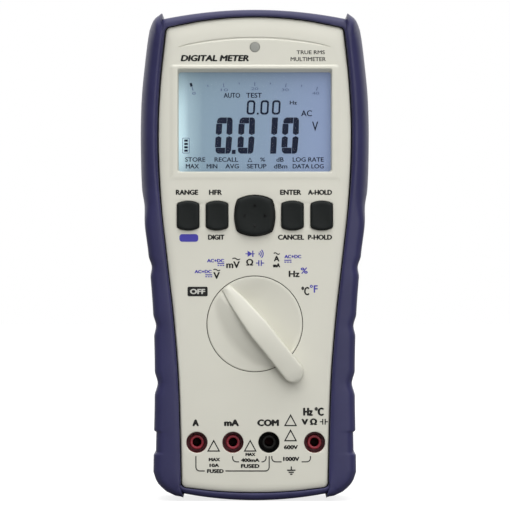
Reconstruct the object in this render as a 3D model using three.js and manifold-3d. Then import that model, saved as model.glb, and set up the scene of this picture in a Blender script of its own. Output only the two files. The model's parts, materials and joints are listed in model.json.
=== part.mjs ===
// Handheld digital multimeter in a moulded rubber holster.
//
// Millimetres, +Z up, the display faces -Y. The origin is under the middle of the meter:
// x = 0 is its plane of symmetry and z = 0 is its lowest point.

import * as THREE from 'three';
import { mergeVertices } from 'three/addons/utils/BufferGeometryUtils.js';
import Module from 'manifold-3d';

const wasm = await Module();
wasm.setup();

// ---------------------------------------------------------------- driving dimensions

const CLEARANCE = 0.3; // gap between pieces that touch
const DEPTH = 50; // over the selector handle and the holster's back rim

// Heights of the layers, from the selector handle (-y) to the holster's back rim (+y).
const HANDLE_FRONT = -DEPTH / 2;
const HOLSTER_FRONT = -19.8;
const FACE = -18.5;
const LEDGE = -16.5; // step round the face, under the holster's front lip
const WALL = 2.4;
const FACE_INSIDE = FACE + WALL;
const SPLIT_FRONT = 1.0;
const SPLIT_REAR = 2.2;
const REAR_INSIDE = 20.2;
const REAR = 22.5;
const HOLSTER_BACK = DEPTH / 2;

// The face: half-width at each height, and the crown of its two ends.
const FACE_STATIONS = [
  [4, 30.3], [26, 30.8], [52, 31.7], [77, 33.7], [102, 36.5], [125, 38.9], [152, 40.0], [175, 39.0], [197, 36.7],
];
const FACE_TOP = { middle: 201.3, drop: 4.5, half: 36.7 };
const FACE_BOTTOM = { middle: 3.5, drop: -2.3, half: 30.5 };
const LEDGE_WIDTH = 3.2; // the shells reach this far beyond the face at each side

// The holster: outer half-width at each height, with the dips between its grip pads.
const HOLSTER_STATIONS = [
  [12, 42.3], [25, 42.1], [40, 41.8], [60, 41.8], [80, 42.5], [103, 44.4], [115, 45.9], [123, 46.1],
  [130, 47.2], [145, 47.7], [158, 47.7], [170, 47.2], [182, 46.0], [192, 44.8], [197, 44.0],
];
const GRIP_DIPS = [25, 49.5, 73, 97.5];
const DIP_DEPTH = 0.8;
const DIP_REACH = 4;
const HOLSTER_TOP = 204.6;
const HORN = { x: 38.7, z: 203.0 };

// Face fittings.
const DISPLAY = { half: 32, low: 136.8, high: 179.3 };
const SENSOR = { z: 188.8, radius: 2.15 };
const KEY = { width: 9.4, height: 12.3, z: 118.7, travel: 1.2 };
const KEY_COLUMNS = [
  ['key_range', -27.75],
  ['key_filter', -15.7],
  ['key_enter', 15.67],
  ['key_hold', 27.85],
];
const PAD = { half: 8.55, z: 118.7, squareness: 2.6 };
const DIAL = { z: 73.6, radius: 20.1, rest: 128.6, tip: 20.2, tail: 30, half: 4.45 };
// Crown of the handle: [distance from the axis towards the tip, y].
const HANDLE_CROWN = [
  [-32, -22.7], [-26, -23.2], [-18, -24.3], [-10, HANDLE_FRONT], [-3, HANDLE_FRONT], [4, -24.0], [10, -22.5],
  [16, -20.8], [21, -19.3],
];
const JACK_Z = 24.25;
const JACK_MOUTH = 4.4;
const JACK_BODY = 5.0;
const JACKS = [
  ['a', -24.1, 0x9c1f30],
  ['ma', -9.1, 0x9c1f30],
  ['com', 5.9, 0x202022],
  ['v', 24.9, 0x9c1f30],
];

// Boards, fasteners and back fittings.
const MAIN_PCB = { front: -6.5, back: -4.9, low: 33, high: 183.5 };
const INPUT_PCB = { front: 4.0, back: 5.6, low: 9, high: 40, half: 28.8 };
const CASE_SCREWS = [[-29.5, 188], [29.5, 188], [-22, 13.2], [22, 13.2]];
const BOARD_SCREWS = [[-34, 129.3], [34, 129.3], [-24, 46], [24, 46]];
const DOOR = { half: 26, low: 19, high: 72 };
const DOOR_SCREWS = [[-18, 38.3], [18, 38.3]];
const STAND = { half: 23.5, low: 86, pivotZ: 158, pivotY: 20.6, thickness: 2.6 };
const STAND_POCKET = { half: 24.3, low: 81, high: 160.4, floor: 19.0 };
const PORT = { half: 8, low: 167, high: 177 };

// ---------------------------------------------------------------- shape helpers

// Smooth curve through [height, value] stations, evaluated at one height.
function along(stations, z) {
  const last = stations.length - 1;
  let i = 0;
  while (i < last - 1 && z > stations[i + 1][0]) i += 1;
  const slope = (k) => {
    const a = stations[Math.max(k - 1, 0)];
    const b = stations[Math.min(k + 1, last)];
    return (b[1] - a[1]) / (b[0] - a[0]);
  };
  const [z0, v0] = stations[i];
  const [z1, v1] = stations[i + 1];
  const span = z1 - z0;
  const t = (z - z0) / span;
  const rise = t * t * (3 - 2 * t);
  const startSlope = t * (1 - t) * (1 - t) * span * slope(i);
  const endSlope = t * t * (t - 1) * span * slope(i + 1);
  return v0 + (v1 - v0) * rise + startSlope + endSlope;
}

const faceHalf = (z) => along(FACE_STATIONS, z);

// Height of an end of the face at one x: a shallow crown.
const crown = (end, x) => end.middle - end.drop * (x / end.half) ** 2;

// Replaces each corner that has a radius with an arc. Corners are [x, z, radius].
function roundCorners(corners, steps = 3) {
  const points = [];
  corners.forEach(([x, z, radius = 0], i) => {
    const here = new THREE.Vector2(x, z);
    if (radius === 0) {
      points.push(here);
      return;
    }
    const before = corners[(i + corners.length - 1) % corners.length];
    const after = corners[(i + 1) % corners.length];
    const a = new THREE.Vector2(before[0] - x, before[1] - z).normalize();
    const b = new THREE.Vector2(after[0] - x, after[1] - z).normalize();
    const half = Math.acos(THREE.MathUtils.clamp(a.dot(b), -1, 1)) / 2;
    const reach = radius / Math.tan(half);
    const centre = a.clone().add(b).normalize().multiplyScalar(radius / Math.sin(half)).add(here);
    const from = here.clone().addScaledVector(a, reach).sub(centre).angle();
    const to = here.clone().addScaledVector(b, reach).sub(centre).angle();
    let turn = to - from;
    if (turn > Math.PI) turn -= 2 * Math.PI;
    if (turn < -Math.PI) turn += 2 * Math.PI;
    for (let k = 0; k <= steps; k += 1) {
      const angle = from + (turn * k) / steps;
      points.push(new THREE.Vector2(centre.x + radius * Math.cos(angle), centre.y + radius * Math.sin(angle)));
    }
  });
  return new THREE.Shape(points);
}

function rectangle(x0, x1, z0, z1, radius = 0) {
  return roundCorners([[x0, z0, radius], [x1, z0, radius], [x1, z1, radius], [x0, z1, radius]]);
}

// The outline of the face, grown at its sides and its ends.
function faceOutline(sideGrow, endGrow, radius) {
  const sideHeights = [18, 40, 62, 84, 106, 128, 152, 176, 187];
  const cornerX = { low: faceHalf(6) + sideGrow, high: faceHalf(197) + sideGrow };
  const low = crown(FACE_BOTTOM, cornerX.low) - endGrow;
  const high = crown(FACE_TOP, cornerX.high) + endGrow;
  const straight = sideHeights.filter((z) => z > low + 1.2 * radius + 1 && z < high - 1.2 * radius - 1);
  const right = [[cornerX.low, low, radius]];
  straight.forEach((z) => right.push([faceHalf(z) + sideGrow, z]));
  right.push([cornerX.high, high, radius]);
  const top = [20, 7, -7, -20].map((x) => [x, crown(FACE_TOP, x) + endGrow]);
  const left = right.map(([x, z, r]) => [-x, z, r]).reverse();
  const bottom = [-14, 0, 14].map((x) => [x, crown(FACE_BOTTOM, x) - endGrow]);
  return roundCorners([...right, ...top, ...left, ...bottom]);
}

function holsterHalf(z) {
  let half = along(HOLSTER_STATIONS, z);
  GRIP_DIPS.forEach((dip) => {
    const away = Math.abs(z - dip) / DIP_REACH;
    if (away < 1) half -= DIP_DEPTH * Math.cos((away * Math.PI) / 2) ** 2;
  });
  return half;
}

// The holster's silhouette: crowned ends, horned top corners and sides that dip between the pads.
function holsterOutline() {
  const sideHeights = [14, 18];
  GRIP_DIPS.forEach((dip) => sideHeights.push(dip - 3.5, dip - 1.5, dip + 1.5, dip + 3.5, dip + 10));
  sideHeights.push(115, 123, 127, 131, 145, 158, 170, 182, 191);
  const right = [[29, 2.7], [29.4, 1.5], [33, 1.9], [36.7, 3.6], [40.2, 6.9], [41.7, 10.3]];
  sideHeights.forEach((z) => right.push([holsterHalf(z), z]));
  right.push([43.9, 196.5], [42.4, 200.2], [40.6, 202.0], [HORN.x, HORN.z], [37.4, 200.9]);
  const top = [25, 12.5, 0, -12.5, -25].map((x) => [x, HOLSTER_TOP - 3.7 * (x / 37.4) ** 2]);
  const left = right.map(([x, z]) => [-x, z]).reverse();
  const bottom = [-20, -10, 0, 10, 20].map((x) => [x, 2.7 * (x / 29) ** 2]);
  return roundCorners([...right, ...top, ...left, ...bottom]);
}

// ---------------------------------------------------------------- solids

function facingOut(geometry) {
  const position = geometry.attributes.position;
  const index = geometry.index.array;
  const a = new THREE.Vector3();
  const b = new THREE.Vector3();
  const c = new THREE.Vector3();
  let volume = 0;
  for (let i = 0; i < index.length; i += 3) {
    a.fromBufferAttribute(position, index[i]);
    b.fromBufferAttribute(position, index[i + 1]);
    c.fromBufferAttribute(position, index[i + 2]);
    volume += a.dot(b.cross(c));
  }
  if (volume < 0) {
    for (let i = 0; i < index.length; i += 3) {
      [index[i], index[i + 1]] = [index[i + 1], index[i]];
    }
  }
  return geometry;
}

function solid(geometry) {
  const bare = geometry.clone();
  bare.deleteAttribute('normal');
  bare.deleteAttribute('uv');
  const merged = facingOut(mergeVertices(bare, 1e-4));
  return new wasm.Manifold(new wasm.Mesh({
    numProp: 3,
    vertProperties: Float32Array.from(merged.attributes.position.array),
    triVerts: Uint32Array.from(merged.index.array),
  }));
}

// A shape drawn in x and z, made solid between two y levels.
function plate(shape, front, back, bevel = 0) {
  const geometry = new THREE.ExtrudeGeometry(shape, {
    depth: back - front - 2 * bevel,
    bevelEnabled: bevel > 0,
    bevelThickness: bevel,
    bevelSize: bevel,
    bevelOffset: -bevel,
    bevelSegments: 1,
    steps: 1,
  });
  geometry.rotateX(Math.PI / 2);
  geometry.translate(0, back - bevel, 0);
  return solid(geometry);
}

// A shape drawn in y and z, made solid between two x positions.
function crossPlate(shape, x0, x1) {
  const geometry = new THREE.ExtrudeGeometry(shape, { depth: x1 - x0, bevelEnabled: false, steps: 1 });
  const turn = new THREE.Matrix4().set(0, 0, 1, x0, 1, 0, 0, 0, 0, 1, 0, 0, 0, 0, 0, 1);
  geometry.applyMatrix4(turn);
  return solid(geometry);
}

function box(x0, x1, y0, y1, z0, z1) {
  const geometry = new THREE.BoxGeometry(x1 - x0, y1 - y0, z1 - z0);
  geometry.translate((x0 + x1) / 2, (y0 + y1) / 2, (z0 + z1) / 2);
  return solid(geometry);
}

// A round bar along y.
function rod(x, z, radius, front, back, segments = 16) {
  const geometry = new THREE.CylinderGeometry(radius, radius, back - front, segments);
  geometry.translate(x, (front + back) / 2, z);
  return solid(geometry);
}

// A round bar along x.
function crossRod(x0, x1, y, z, radius, segments = 16) {
  const geometry = new THREE.CylinderGeometry(radius, radius, x1 - x0, segments);
  geometry.rotateZ(Math.PI / 2);
  geometry.translate((x0 + x1) / 2, y, z);
  return solid(geometry);
}

// A turned piece about an axis along y: profile points are [radius, y], and close on themselves.
function turned(x, z, profile, segments = 16) {
  const points = [...profile, profile[0]].map(([r, y]) => new THREE.Vector2(r, y));
  const geometry = new THREE.LatheGeometry(points, segments);
  geometry.translate(x, 0, z);
  return solid(geometry);
}

// A bent strip of sheet: its centre line, thickened to both sides.
function stripShape(line, thickness) {
  const left = [];
  const right = [];
  line.forEach(([u, v], i) => {
    const before = line[Math.max(i - 1, 0)];
    const after = line[Math.min(i + 1, line.length - 1)];
    const along2d = new THREE.Vector2(after[0] - before[0], after[1] - before[1]).normalize();
    const shift = [(-along2d.y * thickness) / 2, (along2d.x * thickness) / 2];
    left.push(new THREE.Vector2(u + shift[0], v + shift[1]));
    right.push(new THREE.Vector2(u - shift[0], v - shift[1]));
  });
  return new THREE.Shape([...left, ...right.reverse()]);
}

function join(pieces) {
  return pieces.reduce((sum, piece) => sum.add(piece));
}

function cut(base, tools) {
  return tools.reduce((rest, tool) => rest.subtract(tool), base);
}

// ---------------------------------------------------------------- the assembly

const meter = new THREE.Group();

const FINISHES = {
  rubber: { color: 0x45466f, roughness: 0.75, metalness: 0 },
  cream: { color: 0xd6d5c9, roughness: 0.5, metalness: 0 },
  charcoal: { color: 0x24272a, roughness: 0.6, metalness: 0 },
  clear: { color: 0xdfe6f2, roughness: 0.1, metalness: 0, transparent: true, opacity: 0.4 },
  display: { color: 0x94a3c4, roughness: 0.3, metalness: 0 },
  white: { color: 0xe8e8e4, roughness: 0.5, metalness: 0 },
  black: { color: 0x18181a, roughness: 0.6, metalness: 0 },
  board: { color: 0x1d5a38, roughness: 0.6, metalness: 0 },
  steel: { color: 0xa8abb0, roughness: 0.35, metalness: 1 },
  brass: { color: 0xc9a24a, roughness: 0.3, metalness: 1 },
  ceramic: { color: 0xe9e4d8, roughness: 0.5, metalness: 0 },
  infrared: { color: 0x3a0d12, roughness: 0.15, metalness: 0 },
  cell: { color: 0x2f3d57, roughness: 0.4, metalness: 0.3 },
};

function add(name, body, finish) {
  const mesh = body.getMesh();
  const geometry = new THREE.BufferGeometry();
  geometry.setAttribute('position', new THREE.BufferAttribute(Float32Array.from(mesh.vertProperties), 3));
  geometry.setIndex(new THREE.BufferAttribute(Uint32Array.from(mesh.triVerts), 1));
  geometry.computeVertexNormals();
  const material = new THREE.MeshStandardMaterial(typeof finish === 'string' ? FINISHES[finish] : finish);
  const node = new THREE.Mesh(geometry, material);
  node.name = name;
  meter.add(node);
}

// Rubber ring round both shells, with a front lip on their ledge and a back lip over their edge.
function holster() {
  const pocketSide = LEDGE_WIDTH + CLEARANCE;
  const outer = plate(holsterOutline(), HOLSTER_FRONT, HOLSTER_BACK, 1.8);
  return cut(outer, [
    plate(faceOutline(pocketSide, CLEARANCE, 6.3), LEDGE - CLEARANCE, REAR + CLEARANCE),
    plate(faceOutline(0.6, CLEARANCE, 2.6), HOLSTER_FRONT - 1, LEDGE),
    plate(faceOutline(-1.5, -6, 8), REAR, HOLSTER_BACK + 1),
  ]);
}

function keyOutline(x, grow) {
  const half = KEY.width / 2 + grow;
  const side = KEY.height / 2 - 1.2 + grow;
  const arch = (sign) => [0.7, 0.25, -0.25, -0.7].map((u) => {
    const height = side + 1.2 * (1 - u * u);
    return [x + sign * u * half, KEY.z + sign * height];
  });
  return roundCorners([[x + half, KEY.z - side], [x + half, KEY.z + side], ...arch(1),
    [x - half, KEY.z + side], [x - half, KEY.z - side], ...arch(-1)]);
}

function padOutline(half) {
  const points = [];
  const steps = 28;
  for (let k = 0; k < steps; k += 1) {
    const angle = (2 * Math.PI * k) / steps;
    const c = Math.cos(angle);
    const s = Math.sin(angle);
    const power = 2 / PAD.squareness;
    points.push(new THREE.Vector2(
      Math.sign(c) * half * Math.abs(c) ** power,
      PAD.z + Math.sign(s) * half * Math.abs(s) ** power,
    ));
  }
  return new THREE.Shape(points);
}

function frontCase() {
  const wallBehindLedge = LEDGE + WALL;
  const body = join([
    plate(faceOutline(LEDGE_WIDTH, 0, 6), LEDGE, SPLIT_FRONT),
    plate(faceOutline(0, 0, 2), FACE, LEDGE + 1, 0.9),
  ]);
  const hollow = cut(body, [
    plate(faceOutline(-1.2, -2.6, 4), FACE_INSIDE, SPLIT_FRONT + 1),
    plate(faceOutline(LEDGE_WIDTH - 2.2, -2.4, 4), wallBehindLedge, SPLIT_FRONT + 1),
  ]);
  const cupFloor = -15.5;
  const filled = join([
    hollow,
    rod(0, DIAL.z, DIAL.radius + 2, FACE + 1, cupFloor + 2, 32),
    ...CASE_SCREWS.map(([x, z]) => rod(x, z, 3.5, FACE_INSIDE - 1, SPLIT_FRONT, 12)),
    ...BOARD_SCREWS.map(([x, z]) => rod(x, z, 2.5, FACE_INSIDE - 1, MAIN_PCB.front - CLEARANCE, 10)),
  ]);
  return cut(filled, [
    plate(rectangle(-DISPLAY.half, DISPLAY.half, DISPLAY.low, DISPLAY.high, 1.2), FACE - 1, FACE_INSIDE + 1),
    rod(0, SENSOR.z, SENSOR.radius, FACE - 1, FACE_INSIDE + 1, 20),
    rod(0, DIAL.z, DIAL.radius, FACE - 1, cupFloor, 48),
    rod(0, DIAL.z, 4.6, FACE - 1, 0),
    plate(padOutline(PAD.half + 0.45), FACE - 1, FACE_INSIDE + 1),
    ...KEY_COLUMNS.map(([, x]) => plate(keyOutline(x, CLEARANCE), FACE - 1, FACE_INSIDE + 1)),
    ...JACKS.map(([, x]) => rod(x, JACK_Z, JACK_MOUTH, FACE - 1, FACE_INSIDE + 1, 24)),
    ...JACKS.map(([, x]) => rod(x, JACK_Z, JACK_BODY + CLEARANCE, FACE_INSIDE, SPLIT_FRONT + 1, 20)),
    ...CASE_SCREWS.map(([x, z]) => rod(x, z, 1.7, -12, SPLIT_FRONT + 1, 8)),
    ...BOARD_SCREWS.map(([x, z]) => rod(x, z, 1.35, -13, 0, 8)),
  ]);
}

function rearCase() {
  const divider = { y0: 7, z0: 37.2, z1: 39.4 };
  const dividerEnd = 19.9;
  const body = cut(plate(faceOutline(LEDGE_WIDTH, 0, 6), SPLIT_REAR - 1.4, REAR, 1.4), [
    box(-60, 60, SPLIT_REAR - 3, SPLIT_REAR, -5, 210),
    plate(faceOutline(LEDGE_WIDTH - 2.2, -2.4, 4), SPLIT_REAR - 1, REAR_INSIDE),
  ]);
  const filled = join([
    body,
    box(-26.5, 26.5, STAND_POCKET.floor - 2, REAR_INSIDE + 1, STAND_POCKET.low - 2, STAND_POCKET.high + 2),
    box(-32.4, 32.4, divider.y0, dividerEnd, divider.z0, divider.z1),
    ...DOOR_SCREWS.map(([x, z]) => rod(x, z, 3.2, 9, dividerEnd, 12)),
    ...CASE_SCREWS.map(([x, z]) => rod(x, z, 4.6, SPLIT_REAR, REAR_INSIDE + 1, 12)),
  ]);
  const doorHole = rectangle(
    -DOOR.half - CLEARANCE, DOOR.half + CLEARANCE, DOOR.low - CLEARANCE, DOOR.high + CLEARANCE, 2,
  );
  return cut(filled, [
    box(-STAND_POCKET.half, STAND_POCKET.half, STAND_POCKET.floor, REAR + 1, STAND_POCKET.low, STAND_POCKET.high),
    crossRod(-26.2, 26.2, STAND.pivotY, STAND.pivotZ, 1.55),
    plate(doorHole, REAR_INSIDE - 0.2, REAR + 1),
    plate(rectangle(-PORT.half - CLEARANCE, PORT.half + CLEARANCE, PORT.low - CLEARANCE, PORT.high + CLEARANCE, 1),
      REAR_INSIDE - 1, REAR + 1),
    ...DOOR_SCREWS.map(([x, z]) => rod(x, z, 1.5, 12, REAR, 8)),
    ...CASE_SCREWS.map(([x, z]) => rod(x, z, 1.75, 0, REAR + 1, 8)),
    ...CASE_SCREWS.map(([x, z]) => rod(x, z, 3.2, REAR - 3, REAR + 1)),
  ]);
}

function gasket() {
  return cut(plate(faceOutline(2.6, -0.6, 5.4), SPLIT_FRONT + CLEARANCE, SPLIT_REAR - CLEARANCE), [
    plate(faceOutline(1.4, -1.8, 4.2), SPLIT_FRONT, SPLIT_REAR),
  ]);
}

function addShells() {
  add('holster', holster(), 'rubber');
  add('front_case', frontCase(), 'cream');
  add('rear_case', rearCase(), 'cream');
  add('case_gasket', gasket(), 'black');
  CASE_SCREWS.forEach(([x, z], i) => {
    const head = REAR - 2.7;
    const screw = cut(join([rod(x, z, 2.8, head, head + 1.8, 12), rod(x, z, 1.25, -9, head + 1, 8)]), [
      box(x - 2, x + 2, head + 0.9, head + 3, z - 0.35, z + 0.35),
      box(x - 0.35, x + 0.35, head + 0.9, head + 3, z - 2, z + 2),
    ]);
    add(`case_screw_${i + 1}`, screw, 'steel');
  });
}

function addDisplay() {
  const lensFront = FACE_INSIDE + CLEARANCE;
  const lens = rectangle(-33, 33, DISPLAY.low - 1, DISPLAY.high + 1, 1);
  add('display_lens', plate(lens, lensFront, lensFront + 1.2), 'clear');
  add('lcd_glass', plate(rectangle(-32.6, 32.6, 135.2, 180.9), -14.2, -12), 'display');
  add('lcd_backlight', plate(rectangle(-32.4, 32.4, 138.2, 180.7, 1), -11.7, -9.2), 'white');
  const frame = cut(plate(rectangle(-35.2, 35.2, 133.2, 182.8, 2), lensFront, MAIN_PCB.front - CLEARANCE), [
    plate(rectangle(-33.4, 33.4, 134.8, 181.3, 1), lensFront - 1, MAIN_PCB.front + 1),
  ]);
  add('lcd_frame', frame, 'black');
  add('zebra_strip', box(-30, 30, -11.7, MAIN_PCB.front - CLEARANCE, 135.4, 137.4), 'rubber');
  const sensor = turned(0, SENSOR.z, [
    [0, FACE + 0.2], [1.85, FACE + 0.2], [1.85, lensFront], [3, lensFront], [3, lensFront + 1], [0, lensFront + 1],
  ], 16);
  add('sensor_lens', sensor, { color: 0x8f9092, roughness: 0.25, metalness: 0 });
}

function addKeys() {
  const flangeFront = FACE_INSIDE + CLEARANCE;
  const matTop = -10.9;
  const plungerEnd = matTop - CLEARANCE - KEY.travel;
  KEY_COLUMNS.forEach(([name, x]) => {
    const cap = join([
      plate(keyOutline(x, 0), FACE - 1.6, flangeFront + 1, 0.7),
      plate(keyOutline(x, 0.7), flangeFront, flangeFront + 1),
      rod(x, KEY.z, 1.8, flangeFront, plungerEnd, 8),
    ]);
    add(name, cap, 'charcoal');
  });

  const pad = join([
    plate(padOutline(PAD.half), FACE - 2.3, FACE_INSIDE + 1.4, 0.9),
    plate(padOutline(PAD.half + 0.85), FACE_INSIDE + 0.9, FACE_INSIDE + 1.6),
    rod(0, PAD.z, 2.2, FACE_INSIDE, -12, 10),
  ]);
  add('nav_pad', pad, 'charcoal');
  const ring = [[2.8, -13.2], [5, -13.2], [5, -11.7], [2.8, -11.7]];
  add('nav_stem', turned(0, PAD.z, ring, 16), 'steel');

  const mat = join([
    plate(rectangle(-30.8, 30.8, 109.5, 127.5, 2), -8.8, -7.2),
    ...KEY_COLUMNS.map(([, x]) => rod(x, KEY.z, 3, matTop, -8, 10)),
    ...[[6, 0], [-6, 0], [0, 6], [0, -6]].map(([x, z]) => rod(x, PAD.z + z, 1.6, matTop, -8, 8)),
  ]);
  add('keypad_mat', mat, 'black');
}

// Half-width of the pointer handle along its own axis, from its tip to its rounded tail.
function handleOutline() {
  const { tip, tail, half } = DIAL;
  const side = [[tip, 1.6], [tip - 0.7, 1.95], [tip - 6.4, 3.0], [tip - 16.2, 4.0], [-3.6, 4.5], [-12, 4.35]];
  for (let k = 0; k <= 5; k += 1) {
    const angle = (Math.PI / 2) * (k / 5);
    side.push([half - tail - half * Math.sin(angle), half * Math.cos(angle)]);
  }
  const mirrored = side.slice(0, -1).reverse().map(([u, v]) => [u, -v]);
  const turn = THREE.MathUtils.degToRad(DIAL.rest);
  const points = [...side, ...mirrored].map(([u, v]) => new THREE.Vector2(
    u * Math.cos(turn) - v * Math.sin(turn),
    DIAL.z + u * Math.sin(turn) + v * Math.cos(turn),
  ));
  return new THREE.Shape(points.reverse());
}

// The space under the handle's crown, which is highest over the disc and falls to the tip and the tail.
function underCrown() {
  const width = 16;
  const crest = HANDLE_CROWN.map(([u, y]) => new THREE.Vector2(y, u));
  const [first, last] = [HANDLE_CROWN[0][0], HANDLE_CROWN[HANDLE_CROWN.length - 1][0]];
  const profile = new THREE.Shape([...crest, new THREE.Vector2(-14, last), new THREE.Vector2(-14, first)]);
  const geometry = new THREE.ExtrudeGeometry(profile, { depth: width, bevelEnabled: false, steps: 1 });
  geometry.applyMatrix4(new THREE.Matrix4().set(0, 0, 1, -width / 2, 1, 0, 0, 0, 0, 1, 0, 0, 0, 0, 0, 1));
  geometry.rotateY(Math.PI / 2 - THREE.MathUtils.degToRad(DIAL.rest));
  geometry.translate(0, 0, DIAL.z);
  return solid(geometry);
}

function addSelector() {
  const discBack = -15.9;
  const underTail = FACE - 0.6;
  const handle = plate(handleOutline(), HANDLE_FRONT, underTail, 0.5);
  const foot = plate(handleOutline(), underTail - 1.5, discBack).intersect(
    rod(0, DIAL.z, 18.9, -24, -15, 32),
  );
  const knob = join([
    rod(0, DIAL.z, DIAL.radius - 0.35, FACE + 0.2, discBack, 48),
    handle.add(foot).intersect(underCrown()),
    rod(0, DIAL.z, 4.2, discBack - 1, -13, 16),
  ]);
  add('selector_knob', knob, 'cream');
  add('knob_shaft', rod(0, DIAL.z, 3, -12.7, -3.6, 16), 'steel');

  const lobes = 18;
  const rim = [];
  for (let k = 0; k < lobes * 3; k += 1) {
    const angle = (2 * Math.PI * k) / (lobes * 3);
    const radius = 14.7 + 0.3 * Math.cos(angle * lobes);
    rim.push(new THREE.Vector2(radius * Math.cos(angle), DIAL.z + radius * Math.sin(angle)));
  }
  const rotor = cut(plate(new THREE.Shape(rim), -12.4, -10.6), [rod(0, DIAL.z, 3.4, -14, -9, 16)]);
  add('switch_rotor', rotor, 'white');
  [-1, 1].forEach((side, i) => {
    const line = [[-4, -10.2], [-2, -10.2], [0, -7.4], [2, -7.4], [3.4, -8.6]];
    const shape = stripShape(line.map(([u, y]) => [y, DIAL.z + side * (9 + u)]), 0.3);
    add(`rotor_wiper_${i + 1}`, crossPlate(shape, -1.6, 1.6), 'brass');
  });
  const nose = DIAL.z + 15.5;
  const leaf = stripShape([[-9, nose + 2.2], [-3, nose + 1], [0, nose], [3, nose + 1], [9, nose + 2.2]], 0.4);
  add('detent_spring', plate(leaf, -12.3, -10.7), 'steel');
}

function addJacks() {
  const floor = -7;
  const sleeveTop = -14;
  const back = INPUT_PCB.front - CLEARANCE;
  JACKS.forEach(([label, x, color]) => {
    const shell = turned(x, JACK_Z, [
      [JACK_MOUTH, FACE_INSIDE + CLEARANCE], [JACK_BODY, FACE_INSIDE + CLEARANCE], [JACK_BODY, back], [1.3, back],
      [1.3, 2.2], [2.6, 2.2], [2.6, sleeveTop], [3.1, sleeveTop], [3.1, floor], [JACK_MOUTH, floor],
    ]);
    add(`jack_${label}`, shell, { color, roughness: 0.4, metalness: 0 });
    const contact = turned(x, JACK_Z, [
      [2.05, sleeveTop + 0.5], [2.3, sleeveTop + 0.5], [2.3, 1.9], [0.95, 1.9], [0.95, 6.6], [0, 6.6],
      [0, 1.3], [2.05, 1.3],
    ], 12);
    add(`jack_contact_${label}`, contact, 'brass');
  });
}

function addBoards() {
  const edge = [40, 70, 100, 125, 150, 170];
  const half = (z) => faceHalf(z) - 2.4;
  const right = [[half(34), MAIN_PCB.low], ...edge.map((z) => [half(z), z]), [half(183), MAIN_PCB.high]];
  const left = right.map(([x, z]) => [-x, z]).reverse();
  const main = cut(plate(roundCorners([...right, ...left]), MAIN_PCB.front, MAIN_PCB.back), [
    rod(0, DIAL.z, 3.6, -8, -3),
    ...BOARD_SCREWS.map(([x, z]) => rod(x, z, 1.35, -8, -3, 8)),
  ]);
  add('main_pcb', main, 'board');
  BOARD_SCREWS.forEach(([x, z], i) => {
    const head = MAIN_PCB.back + CLEARANCE;
    const screw = join([rod(x, z, 2.3, head, head + 1.5, 10), rod(x, z, 0.95, -11.5, head + 0.5, 8)]);
    add(`board_screw_${i + 1}`, screw, 'steel');
  });

  const { front, back, low, high } = INPUT_PCB;
  const lower = cut(plate(rectangle(-INPUT_PCB.half, INPUT_PCB.half, low, high, 2), front, back), [
    ...JACKS.map(([, x]) => rod(x, JACK_Z, 1.3, front - 1, back + 1, 8)),
    ...CASE_SCREWS.slice(2).map(([x, z]) => rod(x, z, 5.2, front - 1, back + 1, 12)),
  ]);
  add('input_pcb', lower, 'board');
  add('board_header', box(-10, 10, MAIN_PCB.back + CLEARANCE, front - CLEARANCE, 34.5, 38.5), 'black');
  const behind = MAIN_PCB.back + CLEARANCE;
  add('meter_chip', box(-7, 7, behind, behind + 1.6, 118, 132), 'black');
  add('buzzer', cut(rod(-20, 166, 8.5, behind, behind + 4, 20), [rod(-20, 166, 1, behind + 2, behind + 6, 8)]), 'black');
  add('shield_plate', plate(rectangle(-27, 27, 98, 152, 3), -1.2, -0.7), 'steel');
}

function addPower() {
  const behind = INPUT_PCB.back + CLEARANCE;
  const fuses = [
    { name: 'fuse_10a', radius: 5.15, half: 19, y: 12.2, z: 28, clipAt: 14.5 },
    { name: 'fuse_400ma', radius: 3.15, half: 16, y: 10.2, z: 15.6, clipAt: 11.5 },
  ];
  let clip = 0;
  fuses.forEach(({ name, radius, half, y, z, clipAt }) => {
    const tube = join([
      crossRod(-half, half, y, z, radius - 0.25),
      crossRod(-half, 6 - half, y, z, radius),
      crossRod(half - 6, half, y, z, radius),
    ]);
    add(name, tube, 'ceramic');
    [-clipAt, clipAt].forEach((x) => {
      clip += 1;
      const line = [];
      for (let k = 0; k <= 8; k += 1) {
        const angle = THREE.MathUtils.degToRad(60 + (240 * k) / 8);
        const reach = radius + CLEARANCE + 0.25;
        line.push([y + reach * Math.cos(angle), z + reach * Math.sin(angle)]);
      }
      const spring = crossPlate(stripShape(line, 0.5), x - 2.4, x + 2.4);
      const foot = box(x - 2.4, x + 2.4, behind, y - radius - CLEARANCE - 0.1, z - 1, z + 1);
      add(`fuse_clip_${clip}`, join([spring, foot]), 'brass');
    });
  });

  const bar = stripShape([[behind, 20], [10, 20.6], [11, 22], [11, 33], [10, 34.4], [behind, 35]], 1);
  add('current_shunt', crossPlate(bar, 23, 26), 'steel');

  add('battery', plate(rectangle(-24.25, 24.25, 43.2, 69.7, 2), 1.6, 19.1), 'cell');
  const snap = cut(box(24.6, 28.4, 3, 18, 45, 68), [
    crossRod(24, 26.2, 10.4, 50.5, 3.4),
    crossRod(24, 26.2, 10.4, 62.5, 3.4),
  ]);
  add('battery_snap', snap, 'black');
}

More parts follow.
